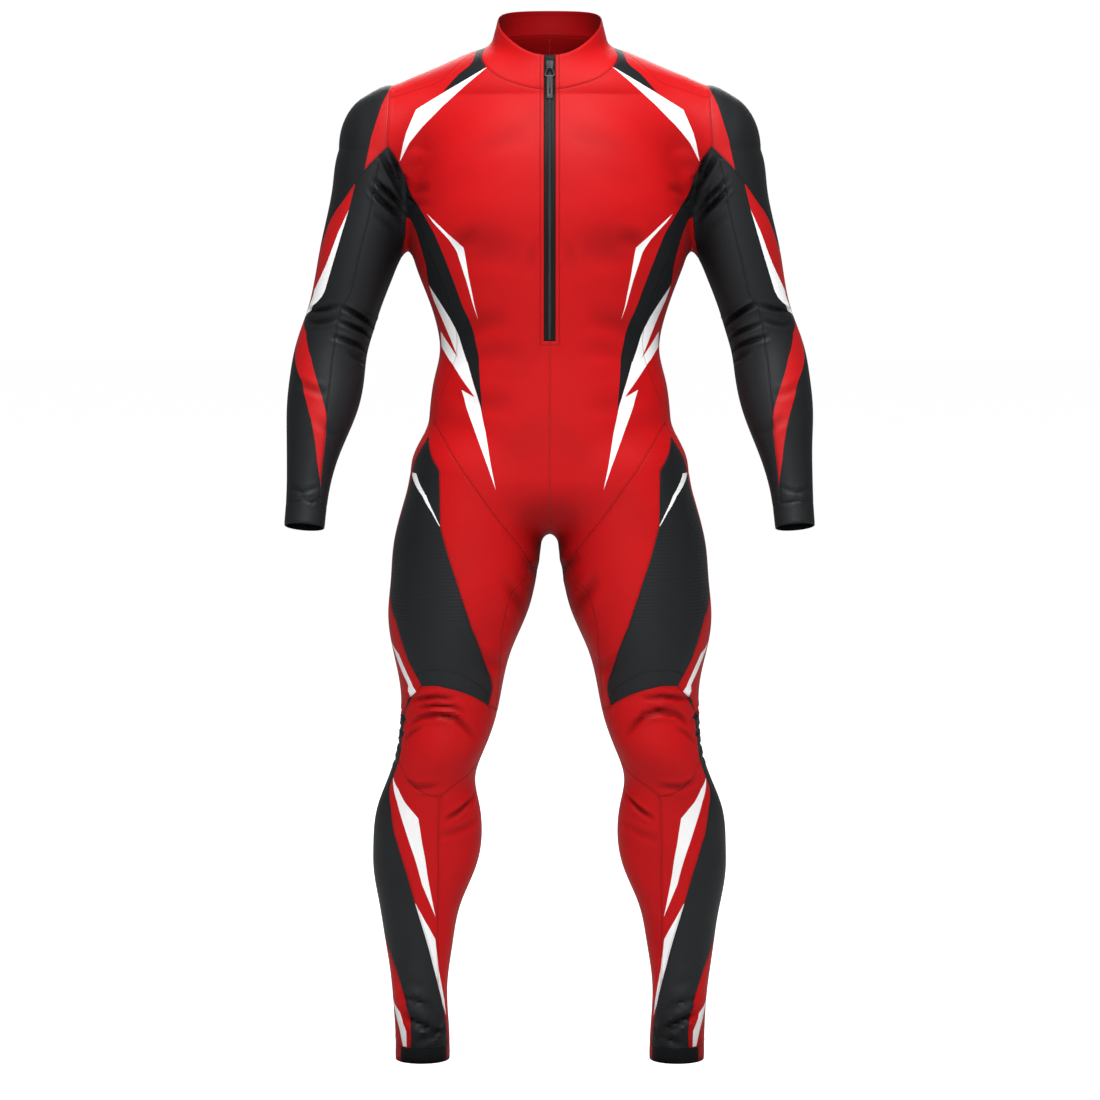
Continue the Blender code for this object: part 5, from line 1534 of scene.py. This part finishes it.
# Moulded plastic or plated metal: slight mottling, a fine grain and edges painted lighter, a painted
# highlight.
def hardMaterial(name, colour, roughness, metallic, grain):
    material, tree, shader = newMaterial(name)
    place = tree.nodes.new("ShaderNodeTexCoord")
    noise = newNode(tree, "TexNoise", {"Vector": place.outputs["Object"], "Scale": grain, "Detail": 6.0})
    mottle = outputs(noise, "Fac")
    edges = tree.nodes.new("ShaderNodeNewGeometry")
    # Painted highlight: sharp edges are painted lighter.
    edgeHighlight = newNode(tree, "MapRange", {"Value": edges.outputs["Pointiness"],
                                      "From Min": 0.52, "From Max": 0.62})
    lighter = tuple(min(1.0, 1.5 * part + 0.02) for part in colour)
    mottleAndEdgeHighlight = mottle.scaled(0.35, outputs(edgeHighlight, 0) * 0.6)
    feedAll(shader, {"Base Color": mixed(tree, mottleAndEdgeHighlight, colour, lighter), "Metallic": metallic,
                     "Roughness": mottle.scaled(0.25, roughness - 0.12)})
    addBump(tree, shader, mottle, 0.00005)
    return material


# A CAD part's shape with its edges rounded.
def roundedCopy(node, name, width):
    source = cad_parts[node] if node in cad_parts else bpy.data.objects[node]
    copy = newObject(name, source.data.copy())
    for key in list(copy.keys()):
        del copy[key]
    bpy.ops.object.select_all(action="DESELECT")
    copy.select_set(True)
    bpy.context.view_layer.objects.active = copy
    bpy.ops.object.mode_set(mode="EDIT")
    bpy.ops.mesh.select_all(action="SELECT")
    bpy.ops.mesh.remove_doubles(threshold=0.00001)
    bpy.ops.mesh.dissolve_limited(angle_limit=np.radians(3))
    bpy.ops.object.mode_set(mode="OBJECT")
    bevel = copy.modifiers.new("rounded", "BEVEL")
    bevel.width = width
    bevel.segments = 2
    bevel.limit_method = "ANGLE"
    bevel.angle_limit = np.radians(40)
    bpy.ops.object.modifier_apply(modifier="rounded")
    copy.data.shade_smooth()
    copy.data.set_sharp_from_angle(angle=np.radians(35))
    return copy


plastic = hardMaterial("moulded pull plastic", (0.014, 0.015, 0.016), 0.50, 0.0, 900.0)
metal = hardMaterial("plated slider metal", (0.040, 0.040, 0.042), 0.62, 1.0, 1400.0)
chainPlastic = hardMaterial("zip chain", (0.0060, 0.0064, 0.0070), 0.60, 0.0, 1500.0)
chain = zipChain()
chain.data.materials.append(chainPlastic)
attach(chain, "suit")
for node, name, slot, material, body, width in (
        ("zip_slider", "sliderPlate", "slider_metal", metal, "suit", 0.00035),
        ("slider_bridge", "sliderArch", "slider_metal", metal, "suit", 0.00028),
        ("pull_tab", "pullTabMoulded", "pull_tab_plastic", plastic, "pull_tab", 0.00030)):
    part = roundedCopy(node, name, width)
    dress(part, node, material, body)
print("zip: chain of", len(chain.data.polygons), "triangles, slider and pull tab")


stage = {"floorHeight": -1.4527, "floorHalf": 30, "cameraDistance": 5.2, "cameraRise": 5.0,
         "aim": (0, 0, -0.7125), "lens": 119.4, "shift": 0.00027}


# A light or camera set at a place and turned towards another.
def point(holder, place, aim):
    holder.location = place
    holder.rotation_euler = (Vector(aim) - Vector(place)).to_track_quat("-Z", "Y").to_euler()


def softLight(name, place, size, power, aim=(0, 0, -0.75)):
    lamp = bpy.data.lights.new(name, "AREA")
    lamp.shape = "RECTANGLE"
    lamp.size, lamp.size_y = size
    lamp.energy = power
    point(newObject(name, lamp), place, aim)


def paleStage():
    corners = [(x * stage["floorHalf"], y * stage["floorHalf"], stage["floorHeight"])
               for x, y in ((-1, -1), (1, -1), (1, 1), (-1, 1))]
    mesh = bpy.data.meshes.new("paleStage")
    mesh.from_pydata(corners, [], [(0, 1, 2, 3)])
    floor = newObject("paleStage", mesh)
    material, tree, shader = newMaterial("pale stage")
    seen = tree.nodes.new("ShaderNodeLightPath")
    feedAll(shader, {"Base Color": (0.62, 0.62, 0.62), "Roughness": 0.9, "Specular IOR Level": 0.0,
                     "Emission Color": (1.0, 1.0, 1.0),
                     "Emission Strength": outputs(seen, "Is Camera Ray") * 0.905})
    mesh.materials.append(material)


paleStage()
softLight("key", (0.2, -2.3, 2.3), (1.7, 1.3), 140, (0, 0, -0.7))
softLight("top", (0.0, -0.5, 2.6), (1.8, 1.2), 38, (0, 0, -0.7))
softLight("front", (-0.2, -5.0, -0.3), (2.0, 2.0), 46)
softLight("leftFill", (-3.4, -2.4, 0.4), (1.2, 2.2), 7)
softLight("rightFill", (3.4, -2.4, 0.4), (1.2, 2.2), 7)
softLight("back", (0.0, 2.6, 1.2), (2.0, 1.8), 60)
world = bpy.data.worlds.new("soft")
bpy.context.scene.world = world
world.use_nodes = True
sky = world.node_tree.nodes["Background"]
sky.inputs["Color"].default_value = (1, 1, 1, 1)
seen = world.node_tree.nodes.new("ShaderNodeLightPath")
feed(outputs(seen, "Is Camera Ray").scaled(0.86, 0.14), sky.inputs["Strength"])
bpy.context.scene.view_settings.view_transform = "Standard"

camera = bpy.data.cameras.new("camera")
camera.sensor_width = 36
camera.lens = stage["lens"]
camera.shift_x = stage["shift"]
camera.clip_start = 0.05
camera.clip_end = 60
bpy.context.scene.camera = newObject("camera", camera)
rise = np.radians(stage["cameraRise"])
away = stage["cameraDistance"] * Vector((0, -np.cos(rise), np.sin(rise)))
point(bpy.context.scene.camera, Vector(stage["aim"]) + away, stage["aim"])
print("stage: floor, lights and camera")
